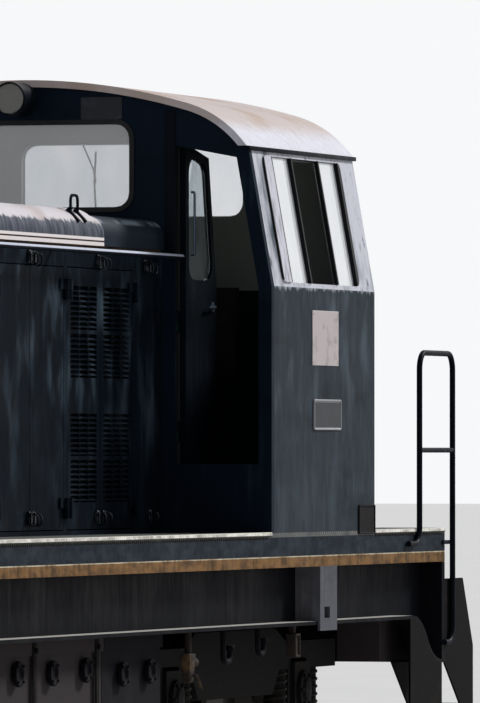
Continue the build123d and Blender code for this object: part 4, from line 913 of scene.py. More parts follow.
def deselect() -> None:
    """Leaves edit mode and deselects every object."""
    if bpy.context.object and bpy.context.object.mode != "OBJECT":
        bpy.ops.object.mode_set(mode="OBJECT")
    bpy.ops.object.select_all(action="DESELECT")


def edit(kind: str = "FACE", action: str = "SELECT") -> None:
    """Opens the active mesh in edit mode.

    Args:
        kind: What is selected: "FACE" or "EDGE".
        action: "SELECT" or "DESELECT", for all of them.
    """
    bpy.ops.object.mode_set(mode="EDIT")
    bpy.ops.mesh.select_mode(type=kind)
    bpy.ops.mesh.select_all(action=action)


def leave() -> None:
    """Leaves edit mode."""
    bpy.ops.object.mode_set(mode="OBJECT")


def turn_outwards() -> None:
    """Turns every face of the mesh in edit mode outwards, and leaves edit mode."""
    bpy.ops.mesh.select_all(action="SELECT")
    bpy.ops.mesh.normals_make_consistent(inside=False)
    leave()


class Piece:
    """One piece in the making: meshes shaped by modelling operators, then joined and dressed."""

    def __init__(self, name: str, finish: Finish, body: str = CHASSIS) -> None:
        """Starts a piece with nothing in it.

        Args:
            name: The piece's name.
            finish: The finish that it gets.
            body: The body of the frame that it rides on.
        """
        self.name = name
        self.finish = finish
        self.body = body
        self.meshes: list[bpy.types.Object] = []

    def settle(self) -> None:
        """Fixes the new mesh's place, turn and size in its vertices."""
        bpy.ops.object.transform_apply(location=True, rotation=True, scale=True)
        self.meshes.append(bpy.context.object)

    def block(self, low: Point, high: Point) -> None:
        """Adds a block.

        Args:
            low: Its lowest corner.
            high: Its highest corner.
        """
        deselect()
        bpy.ops.mesh.primitive_cube_add(size=1.0, location=[(a + b) / 2 for a, b in zip(low, high)])
        bpy.context.object.scale = [b - a for a, b in zip(low, high)]
        self.settle()

    def drum(self, start: Point, end: Point, radius: float, sides: int = 16) -> None:
        """Adds a round bar or disc.

        Args:
            start: The middle of one end.
            end: The middle of the other.
            radius: Its radius.
            sides: How many sides it has.
        """
        deselect()
        line = Vector(end) - Vector(start)
        bpy.ops.mesh.primitive_cylinder_add(
            vertices=sides,
            radius=radius,
            depth=line.length,
            location=(Vector(start) + Vector(end)) / 2,
            rotation=line.to_track_quat("Z", "Y").to_euler(),
        )
        self.settle()

    def ring(self, centre: Point, radius: float, thick: float) -> None:
        """Adds a round ring that stands square to the locomotive's side.

        Args:
            centre: Its middle.
            radius: From its middle to the middle of its bar.
            thick: The bar's radius.
        """
        deselect()
        bpy.ops.mesh.primitive_torus_add(
            major_segments=16,
            minor_segments=6,
            major_radius=radius,
            minor_radius=thick,
            location=centre,
            rotation=(0.0, math.radians(90), 0.0),
        )
        self.settle()

    def pick(self, test: Callable[[Vector, Vector], bool]) -> None:
        """Selects faces of the newest mesh and stays in edit mode.

        Args:
            test: Takes a face's middle and normal, and says whether it is wanted.
        """
        edit("FACE", "DESELECT")
        leave()
        for face in self.meshes[-1].data.polygons:
            face.select = test(face.center, face.normal)
        bpy.ops.object.mode_set(mode="EDIT")

    def pick_facing(self, way: Point) -> None:
        """Selects the faces that face one way."""
        aim = Vector(way)
        self.pick(lambda middle, normal: normal.dot(aim) > 0.99)

    def press(self, way: Point, width: float, travel: Point) -> None:
        """Insets the faces that face one way and pushes them in or out.

        Args:
            way: The way that they face.
            width: Width of the rim that stays.
            travel: How far the inner faces move.
        """
        self.pick_facing(way)
        bpy.ops.mesh.inset(thickness=width)
        bpy.ops.mesh.extrude_region_move(TRANSFORM_OT_translate={"value": travel})

    def squeeze(self, factors: Point, centre: Point) -> None:
        """Scales what is picked about a point."""
        bpy.ops.transform.resize(value=factors, center_override=centre)

    def taper(self, way: Point, factors: Point, centre: Point) -> None:
        """Scales the faces that face one way about a point."""
        self.pick_facing(way)
        self.squeeze(factors, centre)

    def round_corners(self, way: Point, radius: float, steps: int = 4) -> None:
        """Rounds the edges of the newest mesh that run one way.

        Args:
            way: The direction of the edges.
            radius: Radius of the corners.
            steps: Flats in each corner.
        """
        edit("EDGE", "DESELECT")
        leave()
        mesh = self.meshes[-1].data
        aim = Vector(way)
        for edge in mesh.edges:
            start, end = (mesh.vertices[number].co for number in edge.vertices)
            edge.select = abs((end - start).normalized().dot(aim)) > 0.99
        bpy.ops.object.mode_set(mode="EDIT")
        bpy.ops.mesh.bevel(offset=radius, segments=steps)
        leave()

    def open_frame(
        self, low: Point, high: Point, corner: float, width: float, steps: int = 4
    ) -> None:
        """Adds an open frame with rounded corners that lies on an end wall.

        Args:
            low: The lowest corner of its outline.
            high: The highest corner of its outline.
            corner: Radius of its outer corners.
            width: Width of its rim.
            steps: Flats in each corner.
        """
        self.block(low, high)
        self.round_corners((1, 0, 0), corner, steps)
        self.pick(lambda middle, normal: abs(normal.x) > 0.99)
        bpy.ops.mesh.inset(thickness=width)
        bpy.ops.mesh.delete(type="ONLY_FACE")
        bpy.ops.mesh.select_mode(type="EDGE")
        bpy.ops.mesh.select_non_manifold()
        bpy.ops.mesh.bridge_edge_loops()
        turn_outwards()

    def bolts(
        self,
        centre: Point,
        reach: float,
        turns: Sequence[float],
        length: float,
        radius: float,
        soft: float,
    ) -> None:
        """Adds a ring of hexagon heads on a face of the right side.

        Args:
            centre: The middle of the ring, at the heads' feet.
            reach: From its middle to each bolt.
            turns: Where the bolts are round it, in degrees.
            length: How far the heads stand out.
            radius: Radius of a head.
            soft: Width of the rounding on its edges.
        """
        x, y, z = centre
        for turn in turns:
            angle = math.radians(turn)
            spot_x, spot_z = x + reach * math.cos(angle), z + reach * math.sin(angle)
            self.drum((spot_x, y, spot_z), (spot_x, y - length, spot_z), radius, 6)
            self.soften(soft, 1)

    def bar(
        self, points: Sequence[Point], radius: float, bend: float = 0.02, sides: int = 8
    ) -> None:
        """Bends a round bar: each straight run is extruded and each bend is spun.

        Args:
            points: The corners of its middle line.
            radius: The bar's radius.
            bend: Radius of the bends.
            sides: How many sides it has.
        """
        deselect()
        path = [Vector(point) for point in points]
        turn = (path[1] - path[0]).to_track_quat("Z", "Y").to_euler()
        bpy.ops.mesh.primitive_circle_add(
            vertices=sides, radius=radius, location=path[0], rotation=turn
        )
        self.settle()
        edit("EDGE")
        here = path[0]
        for corner, after in zip(path[1:-1], path[2:]):
            into = (corner - here).normalized()
            out = (after - corner).normalized()
            turned = into.angle(out)
            setback = bend * math.tan(turned / 2)
            start = corner - into * setback
            axis = into.cross(out).normalized()
            centre = start + axis.cross(into) * bend
            bpy.ops.mesh.extrude_region_move(TRANSFORM_OT_translate={"value": start - here})
            bpy.ops.mesh.spin(steps=4, angle=-turned, center=centre, axis=axis)
            here = corner + out * setback
        bpy.ops.mesh.extrude_region_move(TRANSFORM_OT_translate={"value": path[-1] - here})
        bpy.ops.mesh.select_all(action="SELECT")
        bpy.ops.mesh.remove_doubles(threshold=0.0001)
        bpy.ops.mesh.fill_holes(sides=0)
        turn_outwards()

    def coil(self, foot: Point, radius: float, thick: float, turns: int, pitch: float) -> None:
        """Winds a coil spring from a round section with a screw modifier.

        Args:
            foot: The middle of its lower end.
            radius: From its middle to the middle of the wire.
            thick: The wire's radius.
            turns: How many turns it has.
            pitch: Height of one turn.
        """
        deselect()
        bpy.ops.mesh.primitive_circle_add(
            vertices=6,
            radius=thick,
            location=(radius, 0.0, 0.0),
            rotation=(math.radians(90), 0.0, 0.0),
        )
        bpy.ops.object.transform_apply(location=True, rotation=True, scale=True)
        wire = bpy.context.object
        screw = wire.modifiers.new("winding", "SCREW")
        screw.screw_offset = pitch
        screw.iterations = turns
        screw.steps = 14
        screw.render_steps = 14
        bpy.ops.object.modifier_apply(modifier=screw.name)
        wire.location = foot
        self.settle()
        edit()
        bpy.ops.mesh.fill_holes(sides=0)
        turn_outwards()

    def soften(self, width: float, steps: int = 2) -> None:
        """Rounds every sharp edge of the newest mesh a little.

        Args:
            width: Width of the rounding.
            steps: Flats in it.
        """
        leave()
        modifier = self.meshes[-1].modifiers.new("soft_edges", "BEVEL")
        modifier.width = width
        modifier.segments = steps
        modifier.limit_method = "ANGLE"
        bpy.ops.object.modifier_apply(modifier=modifier.name)

    def gather(self) -> None:
        """Joins every mesh made so far into one."""
        deselect()
        for mesh in self.meshes:
            mesh.select_set(True)
        bpy.context.view_layer.objects.active = self.meshes[0]
        if len(self.meshes) > 1:
            bpy.ops.object.join()
        self.meshes = [bpy.context.object]

    def copies(self, shifts: Iterable[Point], flip: Point = (1.0, 1.0, 1.0)) -> None:
        """Joins what is made so far and adds a copy of it at each shift.

        Args:
            shifts: How far each copy is moved.
            flip: A mirrored copy has -1 for the mirrored axis.
        """
        self.gather()
        model = self.meshes[0]
        for shift in shifts:
            deselect()
            model.select_set(True)
            bpy.context.view_layer.objects.active = model
            bpy.ops.object.duplicate()
            bpy.context.object.location = shift
            bpy.context.object.scale = flip
            self.settle()
            if math.prod(flip) < 0:
                edit()
                bpy.ops.mesh.flip_normals()
                leave()

    def on_both_sides(self) -> None:
        """Adds the mirror image on the other side of the locomotive."""
        self.copies([(0.0, 0.0, 0.0)], (1.0, -1.0, 1.0))

    def at_both_ends(self) -> None:
        """Adds the mirror image at the other end of the locomotive."""
        self.copies([(0.0, 0.0, 0.0)], (-1.0, 1.0, 1.0))

    def done(self, both_sides: bool = False) -> None:
        """Joins the meshes into the finished piece, dresses it and hangs it on its body.

        Args:
            both_sides: Whether its mirror image on the other side belongs to it too.
        """
        if both_sides:
            self.on_both_sides()
        self.gather()
        piece = self.meshes[0]
        piece.name = self.name
        bpy.ops.object.shade_smooth_by_angle(angle=math.radians(35))
        SHOP.coat(piece, self.finish)
        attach(piece, self.body)
        LOG.info("%s: %d faces", self.name, len(piece.data.polygons))


@dataclass(frozen=True)
class Leaf:
    """A cab door as it hangs at rest.

    Attributes:
        body: Its body.
        hinge: A point of its hinge line, at height 0.
        along: The direction from the hinges to the free edge.
        out: The direction that its outer face looks.
    """

    body: str
    hinge: Vector
    along: Vector
    out: Vector

    def spot(self, along: float, out: float) -> Vector:
        """Finds a point, at height 0, from its distances along the leaf and out of it."""
        return self.hinge + self.along * along + self.out * out


@dataclass
class CabDetails:
    """Plates, gutters, window rubbers, wipers and door fittings of the cab.

    Attributes:
        plate_t: How far a plate stands off the wall.
        gutter_h: Height of the gutter under the eave.
        rubber_w: Width of a window rubber.
        rubber_lip: How much of that lies on the glass.
        open_deg: Angle between the open right door and the locomotive's length.
        leaf_face: From a door's hinge line to its leaf's outer face.
        pull_z: Heights of the pull bar's feet.
        lever_z: Height of the lever.
        seal_runs: Heights of the door seal's lengths, between the hinges.
    """

    plate_t: float = 0.010
    gutter_h: float = 0.026
    rubber_w: float = 0.028
    rubber_lip: float = 0.006
    open_deg: float = 2.0
    leaf_face: float = 0.055
    pull_z: tuple[float, float] = (3.070, 3.425)
    lever_z: float = 2.780
    seal_runs: Pairs = ((1.885, 2.008), (2.130, 2.628), (2.750, 3.690))

    def build(self) -> None:
        """Builds every piece of the cab."""
        self.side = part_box("cab_side_left")[1].y
        self.hood_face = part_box("cab_wall_hood_end")[0].x
        self.far_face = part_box("cab_wall_far_end")[1].x
        self.plates()
        self.panels()
        self.gutters()
        self.rubbers()
        self.wipers()
        self.wall_fittings()
        for leaf in self.leaves():
            self.door_fittings(leaf)
            self.door_seal(leaf)

    def plates(self) -> None:
        """Makes the blank plates with raised rims on the cab's sides and over the sill."""
        for name, finish, low, high in (
            ("cab_side_plates", Finish.PLATE, (4.070, 2.082), (4.598, 2.257)),
            ("cab_corner_cover", Finish.CENTRE, (4.957, 1.480), (5.279, 1.650)),
        ):
            plate = Piece(name, finish)
            front = -self.side - self.plate_t
            plate.block((low[0], front, low[1]), (high[0], -self.side, high[1]))
            plate.round_corners((0, 1, 0), 0.012, 2)
            plate.press((0, -1, 0), 0.010, (0, 0.005, 0))
            plate.soften(0.0015, 1)
            plate.done(both_sides=True)

    def panels(self) -> None:
        """Makes the dark fields in the side plates and the pale screwed panels over them."""
        fields = Piece("cab_plate_fields", Finish.PLATE_FIELD)
        fields.block((4.086, -self.side - 0.008, 2.098), (4.582, -self.side - 0.002, 2.241))
        fields.soften(0.001, 1)
        fields.done(both_sides=True)
        panels = Piece("cab_side_panels", Finish.PANEL)
        panels.block((4.050, -self.side - 0.004, 2.450), (4.559, -self.side, 2.764))
        panels.soften(0.002, 1)
        for x, z in ((4.070, 2.470), (4.539, 2.470), (4.070, 2.744), (4.539, 2.744)):
            panels.drum((x, -self.side - 0.007, z), (x, -self.side - 0.003, z), 0.007, 8)
            panels.taper((0, -1, 0), (0.6, 1.0, 0.6), (x, 0, z))
        panels.done(both_sides=True)

    def gutters(self) -> None:
        """Makes the rain gutters along the eaves."""
        low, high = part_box("cab_roof")
        gutter = Piece("cab_gutters", Finish.BLACK)
        gutter.block(
            (low.x, low.y - 0.020, low.z - self.gutter_h), (high.x, low.y + 0.004, low.z - 0.002)
        )
        gutter.press((0, 0, 1), 0.004, (0, 0, -0.012))
        gutter.soften(0.002)
        gutter.done(both_sides=True)

    def rubbers(self) -> None:
        """Makes the rubber frames of the two end windows."""
        rims = Piece("end_window_rubbers", Finish.RUBBER)
        grow = self.rubber_w - self.rubber_lip
        for face, outwards, half, base, top in (
            (self.hood_face, -1, 0.640, 3.334, 3.814),
            (self.far_face, 1, 0.685, 3.334, 3.770),
        ):
            near, far = sorted((face - outwards * 0.002, face + outwards * 0.009))
            low, high = (near, -half - grow, base - grow), (far, half + grow, top + grow)
            rims.open_frame(low, high, 0.085 + grow, self.rubber_w)
        rims.done()

    def wipers(self) -> None:
        """Makes a wiper on each end window: a spindle, a bent arm and a blade."""
        arms = Piece("window_wipers", Finish.BLACK)
        for face, outwards, top in ((self.hood_face, -1, 3.850), (self.far_face, 1, 3.806)):
            out = face + outwards * 0.022
            tip, blade = out - outwards * 0.004, out - outwards * 0.008
            arms.drum((face, 0.34, top), (out + outwards * 0.006, 0.34, top), 0.016, 12)
            arms.taper((outwards, 0, 0), (1, 0.7, 0.7), (0, 0.34, top))
            arms.bar(((out, 0.34, top), (out, 0.26, top - 0.18), (tip, 0.24, top - 0.26)), 0.005)
            ends = ((blade, 0.24, top - 0.08), (blade, 0.25, top - 0.26), (blade, 0.24, top - 0.44))
            arms.bar(ends, 0.006, 0.1)
        arms.done()

    def wall_fittings(self) -> None:
        """Makes the cover strip and the blank plate on the wall over the hood."""
        strip = Piece("wall_cover_strip", Finish.BLACK)
        strip.block((self.hood_face - 0.012, -0.906, 3.080), (self.hood_face, -0.850, 3.880))
        strip.press((-1, 0, 0), 0.008, (-0.004, 0, 0))
        strip.soften(0.002, 1)
        strip.done()
        plate = Piece("wall_blank_plate", Finish.PLATE_FIELD)
        plate.block((self.hood_face - 0.005, -0.590, 3.836), (self.hood_face, -0.345, 3.962))
        plate.round_corners((1, 0, 0), 0.01, 2)
        plate.press((-1, 0, 0), 0.006, (0.002, 0, 0))
        plate.done()

    def leaves(self) -> tuple[Leaf, Leaf]:
        """Finds where the open right door and the shut left door hang.

        Returns:
            The right door and the left door.
        """
        swing = math.radians(self.open_deg)
        along = Vector((math.cos(swing), -math.sin(swing), 0))
        out = Vector((-math.sin(swing), -math.cos(swing), 0))
        return (
            Leaf("cab_door_right", Vector((3.349, -0.890, 0)), along, out),
            Leaf("cab_door_left", Vector((5.221, 0.890, 0)), Vector((0, 1, 0)), Vector((1, 0, 0))),
        )

    def door_fittings(self, leaf: Leaf) -> None:
        """Makes a cab door's pull bar and lever.

        Args:
            leaf: The door.
        """
        fittings = Piece(f"{leaf.body}_fittings", Finish.HANDRAIL, leaf.body)
        foot = leaf.spot(0.100, self.leaf_face - 0.002)
        line = foot + leaf.out * 0.020
        low, high = (Vector((0, 0, z)) for z in self.pull_z)
        fittings.bar((foot + low, line + low, line + high, foot + high), 0.007, 0.010)
        lever = leaf.spot(0.440, self.leaf_face - 0.002)
        knuckle = lever + leaf.out * 0.028
        height = Vector((0, 0, self.lever_z))
        fittings.drum(lever + height, lever + leaf.out * 0.012 + height, 0.030)
        fittings.soften(0.003)
        tip = knuckle - leaf.along * 0.120 + Vector((0, 0, self.lever_z - 0.005))
        fittings.bar((lever + height, knuckle + height, tip), 0.008, 0.012)
        fittings.done()

    def door_seal(self, leaf: Leaf) -> None:
        """Makes the rubber strip that fills a cab door's gap at its hinges.

        Args:
            leaf: The door.
        """
        near, far = leaf.spot(0.007, 0.0205), leaf.spot(0.015, -0.018)
        seal = Piece(f"{leaf.body}_seal", Finish.RUBBER, leaf.body)
        for base, top in self.seal_runs:
            low = (min(near.x, far.x), min(near.y, far.y), base)
            high = (max(near.x, far.x), max(near.y, far.y), top)
            seal.block(low, high)
            seal.round_corners((0, 0, 1), 0.003, 2)
        seal.done()


@dataclass
class HoodDetails:
    """Latches, lifting eyes, cover strips and bolts of the long hood.

    Attributes:
        wall: How far the side walls stand from the middle.
        link_r: Radius of a latch's ring.
        latches: X and Z of each latch on the walls.
        foot_z: Height of the latches at the doors' feet.
        foot_latches: Each door leaf and where its latch is along the hood.
        eye_place: Middle of the first lifting eye's foot.
        eye_w: Width of a lifting eye.
        eye_h: Height of a lifting eye.
        leaf_edge: Width of a louvred leaf's border.
        mat_w: Width of a filter mat.
        mat_y: Its inner face.
        mat_t: Its thickness.
        louvres: Base and height of each louvred window.
        bolt_pitch: Spacing of the grilles' bolts.
    """

    wall: float = 0.825
    link_r: float = 0.024
    latches: Pairs = (
        (0.950, 3.012),
        (1.018, 3.006),
        (2.120, 3.010),
        (2.188, 3.004),
        (2.946, 3.000),
        (3.010, 2.994),
        (3.032, 1.600),
    )
    foot_z: float = 1.600
    foot_latches: tuple[tuple[str, float], ...] = (
        ("1a", 2.208),
        ("1b", 2.108),
        ("2a", 1.010),
        ("2b", 0.952),
    )
    eye_place: tuple[float, float, float] = (1.850, -0.785, 3.240)
    eye_w: float = 0.120
    eye_h: float = 0.125
    leaf_edge: float = 0.055
    mat_w: float = 0.453
    mat_y: float = 0.7885
    mat_t: float = 0.006
    louvres: Pairs = ((1.679, 0.233), (1.934, 0.233), (2.363, 0.241), (2.626, 0.241))
    bolt_pitch: float = 0.245

    def build(self) -> None:
        """Builds every piece of the long hood."""
        self.fixed_latches()
        for side, sign in (("right", -1), ("left", 1)):
            for leaf, x in self.foot_latches:
                self.door_latch(f"hood_door_{side}_{leaf}", x, sign)
            for leaf, inward in (("1a", -1), ("1b", 1)):
                self.filter_mats(f"hood_door_{side}_{leaf}", inward, sign)
        self.lifting_eyes()
        self.cover_strips()
        self.grille_bolts()

    def latch(self, piece: Piece, x: float, y: float, z: float, out: float) -> None:
        """Adds one latch: a ribbed base with a ring that hangs from it.

        Args:
            piece: The piece that it belongs to.
            x: Its place along the hood.
            y: The surface that it sits on.
            z: The height of its middle.
            out: The sign of the outward direction.
        """
        near, far = sorted((y - out * 0.002, y + out * 0.014))
        piece.block((x - 0.014, near, z - 0.034), (x + 0.014, far, z + 0.034))
        piece.press((0, out, 0), 0.005, (0, out * 0.010, 0))
        piece.soften(0.002, 1)
        pin = (y + out * 0.020, z + 0.012)
        piece.drum((x - 0.018, *pin), (x + 0.018, *pin), 0.008, 10)
        piece.soften(0.001, 1)
        piece.ring((x, y + out * 0.036, z - 0.004), self.link_r, 0.0055)
        piece.pick(lambda middle, normal: middle.z < z - 0.012)
        bpy.ops.transform.translate(value=(0, 0, -0.016))
        leave()

    def fixed_latches(self) -> None:
        """Makes the latches over the doors and beside the cab."""
        latches = Piece("hood_latches", Finish.LATCH)
        for x, z in self.latches:
            self.latch(latches, x, -self.wall, z, -1)
        latches.done(both_sides=True)

    def door_latch(self, door: str, x: float, side: int) -> None:
        """Makes the latch at the foot of one hood door.

        Args:
            door: The door's body.
            x: Its place along the hood.
            side: The sign of the side.
        """
        latch = Piece(f"{door}_latch", Finish.LATCH, door)
        self.latch(latch, x, side * self.wall, self.foot_z, side)
        latch.done()

    def filter_mats(self, door: str, inward: int, side: int) -> None:
        """Makes the mats that close a louvred door's windows from inside.

        Args:
            door: The door's body.
            inward: Direction from the hinges to the free edge along X.
            side: The sign of the side.
        """
        free_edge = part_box(door)[0 if inward < 0 else 1].x
        reaches = (self.leaf_edge, self.leaf_edge + self.mat_w)
        start, end = sorted(free_edge - inward * reach for reach in reaches)
        near, far = sorted((side * self.mat_y, side * (self.mat_y + self.mat_t)))
        mats = Piece(f"{door}_filters", Finish.FILTER, door)
        for base, height in self.louvres:
            top = base + height + 0.002
            mats.block((start - 0.002, near, base - 0.002), (end + 0.002, far, top))
            mats.press((0, side, 0), 0.010, (0, -side * 0.002, 0))
            mats.soften(0.0008, 1)
        mats.done()

    def lifting_eyes(self) -> None:
        """Makes the U-shaped lifting eyes on the hood's roof."""
        eyes = Piece("lifting_eyes", Finish.BLACK)
        x, y, z = self.eye_place
        start, end = x - self.eye_w / 2, x + self.eye_w / 2
        top = z + self.eye_h
        eyes.bar(((start, y, z), (start, y, top), (end, y, top), (end, y, z)), 0.0085, 0.030)
        for foot_x in (start, end):
            eyes.bar(
                ((foot_x, y + 0.020, z + 0.050), (foot_x + 0.010, y - 0.046, z - 0.022)), 0.012
            )
            eyes.drum((foot_x, y, z + 0.046), (foot_x, y, z + 0.060), 0.015, 10)
            eyes.soften(0.002, 1)
        eyes.copies([(-3.2, 0, 0), (-7.1, 0, 0)])
        eyes.done(both_sides=True)

    def cover_strips(self) -> None:
        """Makes the cover strips over the joints between the hood's plain panels."""
        strips = Piece("hood_cover_strips", Finish.HOOD)
        strips.block((-0.835, -self.wall - 0.006, 1.520), (-0.805, -self.wall, 3.080))
        strips.press((0, -1, 0), 0.006, (0, -0.002, 0))
        strips.soften(0.001, 1)
        strips.copies([(-1.2, 0, 0)])
        strips.done(both_sides=True)

    def grille_bolts(self) -> None:
        """Makes the round-headed bolts that hold the radiator grilles."""
        bolts = Piece("grille_bolts", Finish.BLACK)
        x, z = -3.360, 1.775
        bolts.drum((x, -self.wall + 0.001, z), (x, -self.wall - 0.006, z), 0.011, 8)
        bolts.taper((0, -1, 0), (0.6, 1, 0.6), (x, 0, z))
        bolts.copies([(-self.bolt_pitch * step, 0, 0) for step in range(1, 5)])
        bolts.copies([(0, 0, 1.080)])
        bolts.copies([(-1.140, 0, 0)])
        bolts.done(both_sides=True)


@dataclass
class DeckEdge:
    """The worn edge strip round the deck, with a row of teeth under it.

    Attributes:
        strip_w: Width of the strip on the deck, and its height on the sill.
        strip_t: How far it stands off the sill.
        proud: How far it stands off the deck.
        tooth_pitch: Spacing of the teeth.
        tooth_w: Width of a tooth.
        tooth_h: Height of a tooth.
        corner: How much shorter than the deck each end strip is at a corner.
        post_gap: Gap to the post in front of the cab's side.
    """

    strip_w: float = 0.020
    strip_t: float = 0.005
    proud: float = 0.003
    tooth_pitch: float = 0.034
    tooth_w: float = 0.020
    tooth_h: float = 0.016
    corner: float = 0.012
    post_gap: float = 0.052

    def build(self) -> None:
        """Builds the strips along both sides and across both ends."""
        low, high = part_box("deck")
        self.top = high.z
        cab_start, cab_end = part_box("cab_side_right")[0].x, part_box("cab_wall_far_end")[1].x
        for name, start, end in (
            ("deck_edge_long", low.x + 0.004, cab_start - self.post_gap),
            ("deck_edge_short", cab_end + 0.004, high.x - 0.004),
        ):
            out = -high.y - self.strip_t
            strip = self.strip(name, (start, out), (end, -high.y + self.strip_w))
            self.teeth(strip, (start + 0.004, out), end - start, 0)
            strip.done(both_sides=True)
        half = high.y - self.corner
        outer = (high.x + self.strip_t, half)
        strip = self.strip("deck_edge_ends", (high.x - self.strip_w, -half), outer)
        self.teeth(strip, (high.x, -half + 0.010), 2 * half, 1)
        strip.at_both_ends()
        strip.done()

    def strip(self, name: str, low: Point, high: Point) -> Piece:
        """Starts one length of strip.

        Args:
            name: The piece's name.
            low: Its lowest X and Y.
            high: Its highest X and Y.

        Returns:
            The piece, with no teeth yet.
        """
        strip = Piece(name, Finish.TREAD)
        strip.block((*low, self.top - self.strip_w), (*high, self.top + self.proud))
        strip.press((0, 0, 1), 0.003, (0, 0, 0.0015))
        strip.soften(0.0015, 1)
        return strip

    def teeth(self, strip: Piece, first: Point, length: float, axis: int) -> None:
        """Models one tooth and repeats it along the strip with an array modifier.

        Args:
            strip: The piece that the teeth belong to.
            first: The first tooth's lowest X and Y.
            length: The strip's length.
            axis: 0 for a strip along X and 1 for one along Y.
        """
        size = [self.strip_t, self.strip_t, self.tooth_h]
        size[axis] = self.tooth_w
        point_at = [1.0, 1.0, 1.0]
        point_at[axis] = 0.1
        start = (*first, self.top - 0.019 - self.tooth_h)
        high = [low + span for low, span in zip(start, size)]
        strip.block(start, high)
        middle = [(low + top) / 2 for low, top in zip(start, high)]
        strip.taper((0, 0, -1), point_at, (middle[0], middle[1], start[2]))
        leave()
        row = strip.meshes[-1].modifiers.new("row", "ARRAY")
        row.use_relative_offset = False
        row.use_constant_offset = True
        step = [0.0, 0.0, 0.0]
        step[axis] = self.tooth_pitch
        row.constant_offset_displace = step
        row.count = int(length / self.tooth_pitch) - 1
        bpy.ops.object.modifier_apply(modifier=row.name)


@dataclass
class UnderframeDetails:
    """Covers, straps, valves and pipes under the deck.

    Attributes:
        cover_r: Radius of a hand-hole cover.
        strap_x: Where the first tank strap starts.
        strap_w: Width of a tank strap.
        strap_top: Height that the straps end at.
        pipe_r: Radius of an air pipe.
        hanger_y: Where the hung fittings are, under the flange.
        flange_z: Underside of the flange that they hang from.
    """

    cover_r: float = 0.068
    strap_x: float = -1.430
    strap_w: float = 0.060
    strap_top: float = 0.955
    pipe_r: float = 0.017
    hanger_y: float = -1.405
    flange_z: float = 0.970

    def build(self) -> None:
        """Builds every piece under the deck."""
        self.tank_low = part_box("fuel_tank")[0]
        self.covers()
        self.straps()
        self.valves()
        self.pipes()
        self.lights()

    def covers(self) -> None:
        """Makes the dished hand-hole covers on the tank and the battery box."""
        covers = Piece("box_covers", Finish.BATTERY)
        y = self.tank_low.y
        for x, z in (
            (-0.726, 0.800),
            (-0.168, 0.792),
            (0.386, 0.796),
            (1.012, 0.760),
            (1.478, 0.765),
        ):
            covers.drum((x, y + 0.002, z), (x, y - 0.022, z), self.cover_r, 20)
            covers.press((0, -1, 0), 0.016, (0, 0.014, 0))
            covers.squeeze((0.7, 1, 0.7), (x, 0, z))
            covers.soften(0.003)
            covers.bolts((x, y - 0.020, z), 0.058, range(45, 405, 90), 0.010, 0.008, 0.001)
        covers.done(both_sides=True)

    def straps(self) -> None:
        """Makes the steel straps round the fuel tank."""
        low = self.tank_low
        straps = Piece("tank_straps", Finish.BOGIE)
        end = (self.strap_x + self.strap_w, low.y + 0.001, self.strap_top)
        straps.block((self.strap_x, low.y - 0.006, low.z + 0.120), end)
        straps.press((0, -1, 0), 0.010, (0, -0.003, 0))
        straps.soften(0.002, 1)
        middle = self.strap_x + self.strap_w / 2
        for z in (low.z + 0.160, self.strap_top - 0.040):
            straps.drum((middle, low.y - 0.006, z), (middle, low.y - 0.022, z), 0.016, 6)
            straps.soften(0.002, 1)
        straps.copies([(0.95, 0, 0), (1.98, 0, 0)])
        straps.done(both_sides=True)

    def valves(self) -> None:
        """Makes the brake cock that hangs from the flange beside the battery box."""
        cock = Piece("brake_cocks", Finish.COCK)
        y = self.hanger_y
        cock.block((1.905, y - 0.030, 0.690), (2.025, y + 0.030, 0.850))
        cock.taper((0, 0, -1), (0.6, 0.7, 1), (1.965, y, 0.690))
        cock.soften(0.010, 3)
        cock.drum((1.965, y, 0.850), (1.965, y, self.flange_z), 0.020, 12)
        cock.soften(0.003)
        cock.drum((2.020, y, 0.800), (2.085, y, 0.800), 0.026, 12)
        cock.press((1, 0, 0), 0.006, (0.012, 0, 0))
        cock.soften(0.002)
        handle = ((1.965, y - 0.028, 0.730), (1.965, y - 0.050, 0.730), (2.040, y - 0.055, 0.650))
        cock.bar(handle, 0.009, 0.012)
        cock.done(both_sides=True)

    def pipes(self) -> None:
        """Makes the bent air pipes and drain loops under the flange."""
        pipes = Piece("air_pipes", Finish.BATTERY)
        y, top = self.hanger_y, self.flange_z
        for x, drop, reach in ((2.600, 0.180, 0.130), (3.240, 0.150, 0.110)):
            low, far = top - drop, x + reach
            path = ((x, y, top), (x, y, low), (far, y, low), (far, y, low + 0.070))
            pipes.bar(path, self.pipe_r, 0.045, 10)
            pipes.drum((far, y, low + 0.060), (far, y, low + 0.090), 0.026, 8)
            pipes.soften(0.003, 1)
        pipes.at_both_ends()
        pipes.done(both_sides=True)

    def lights(self) -> None:
        """Makes the small ground lights beside the cab steps."""
        lights = Piece("ground_lights", Finish.COCK)
        y = self.hanger_y
        lights.block((3.850, y - 0.035, 0.790), (3.945, y + 0.025, 0.925))
        lights.press((0, -1, 0), 0.014, (0, 0.010, 0))
        lights.soften(0.004, 2)
        lights.block((3.880, y - 0.012, 0.920), (3.915, y + 0.012, self.flange_z))
        lights.taper((0, 0, 1), (1.6, 1.4, 1), (3.8975, y, self.flange_z))
        lights.soften(0.002, 1)
        lights.done(both_sides=True)


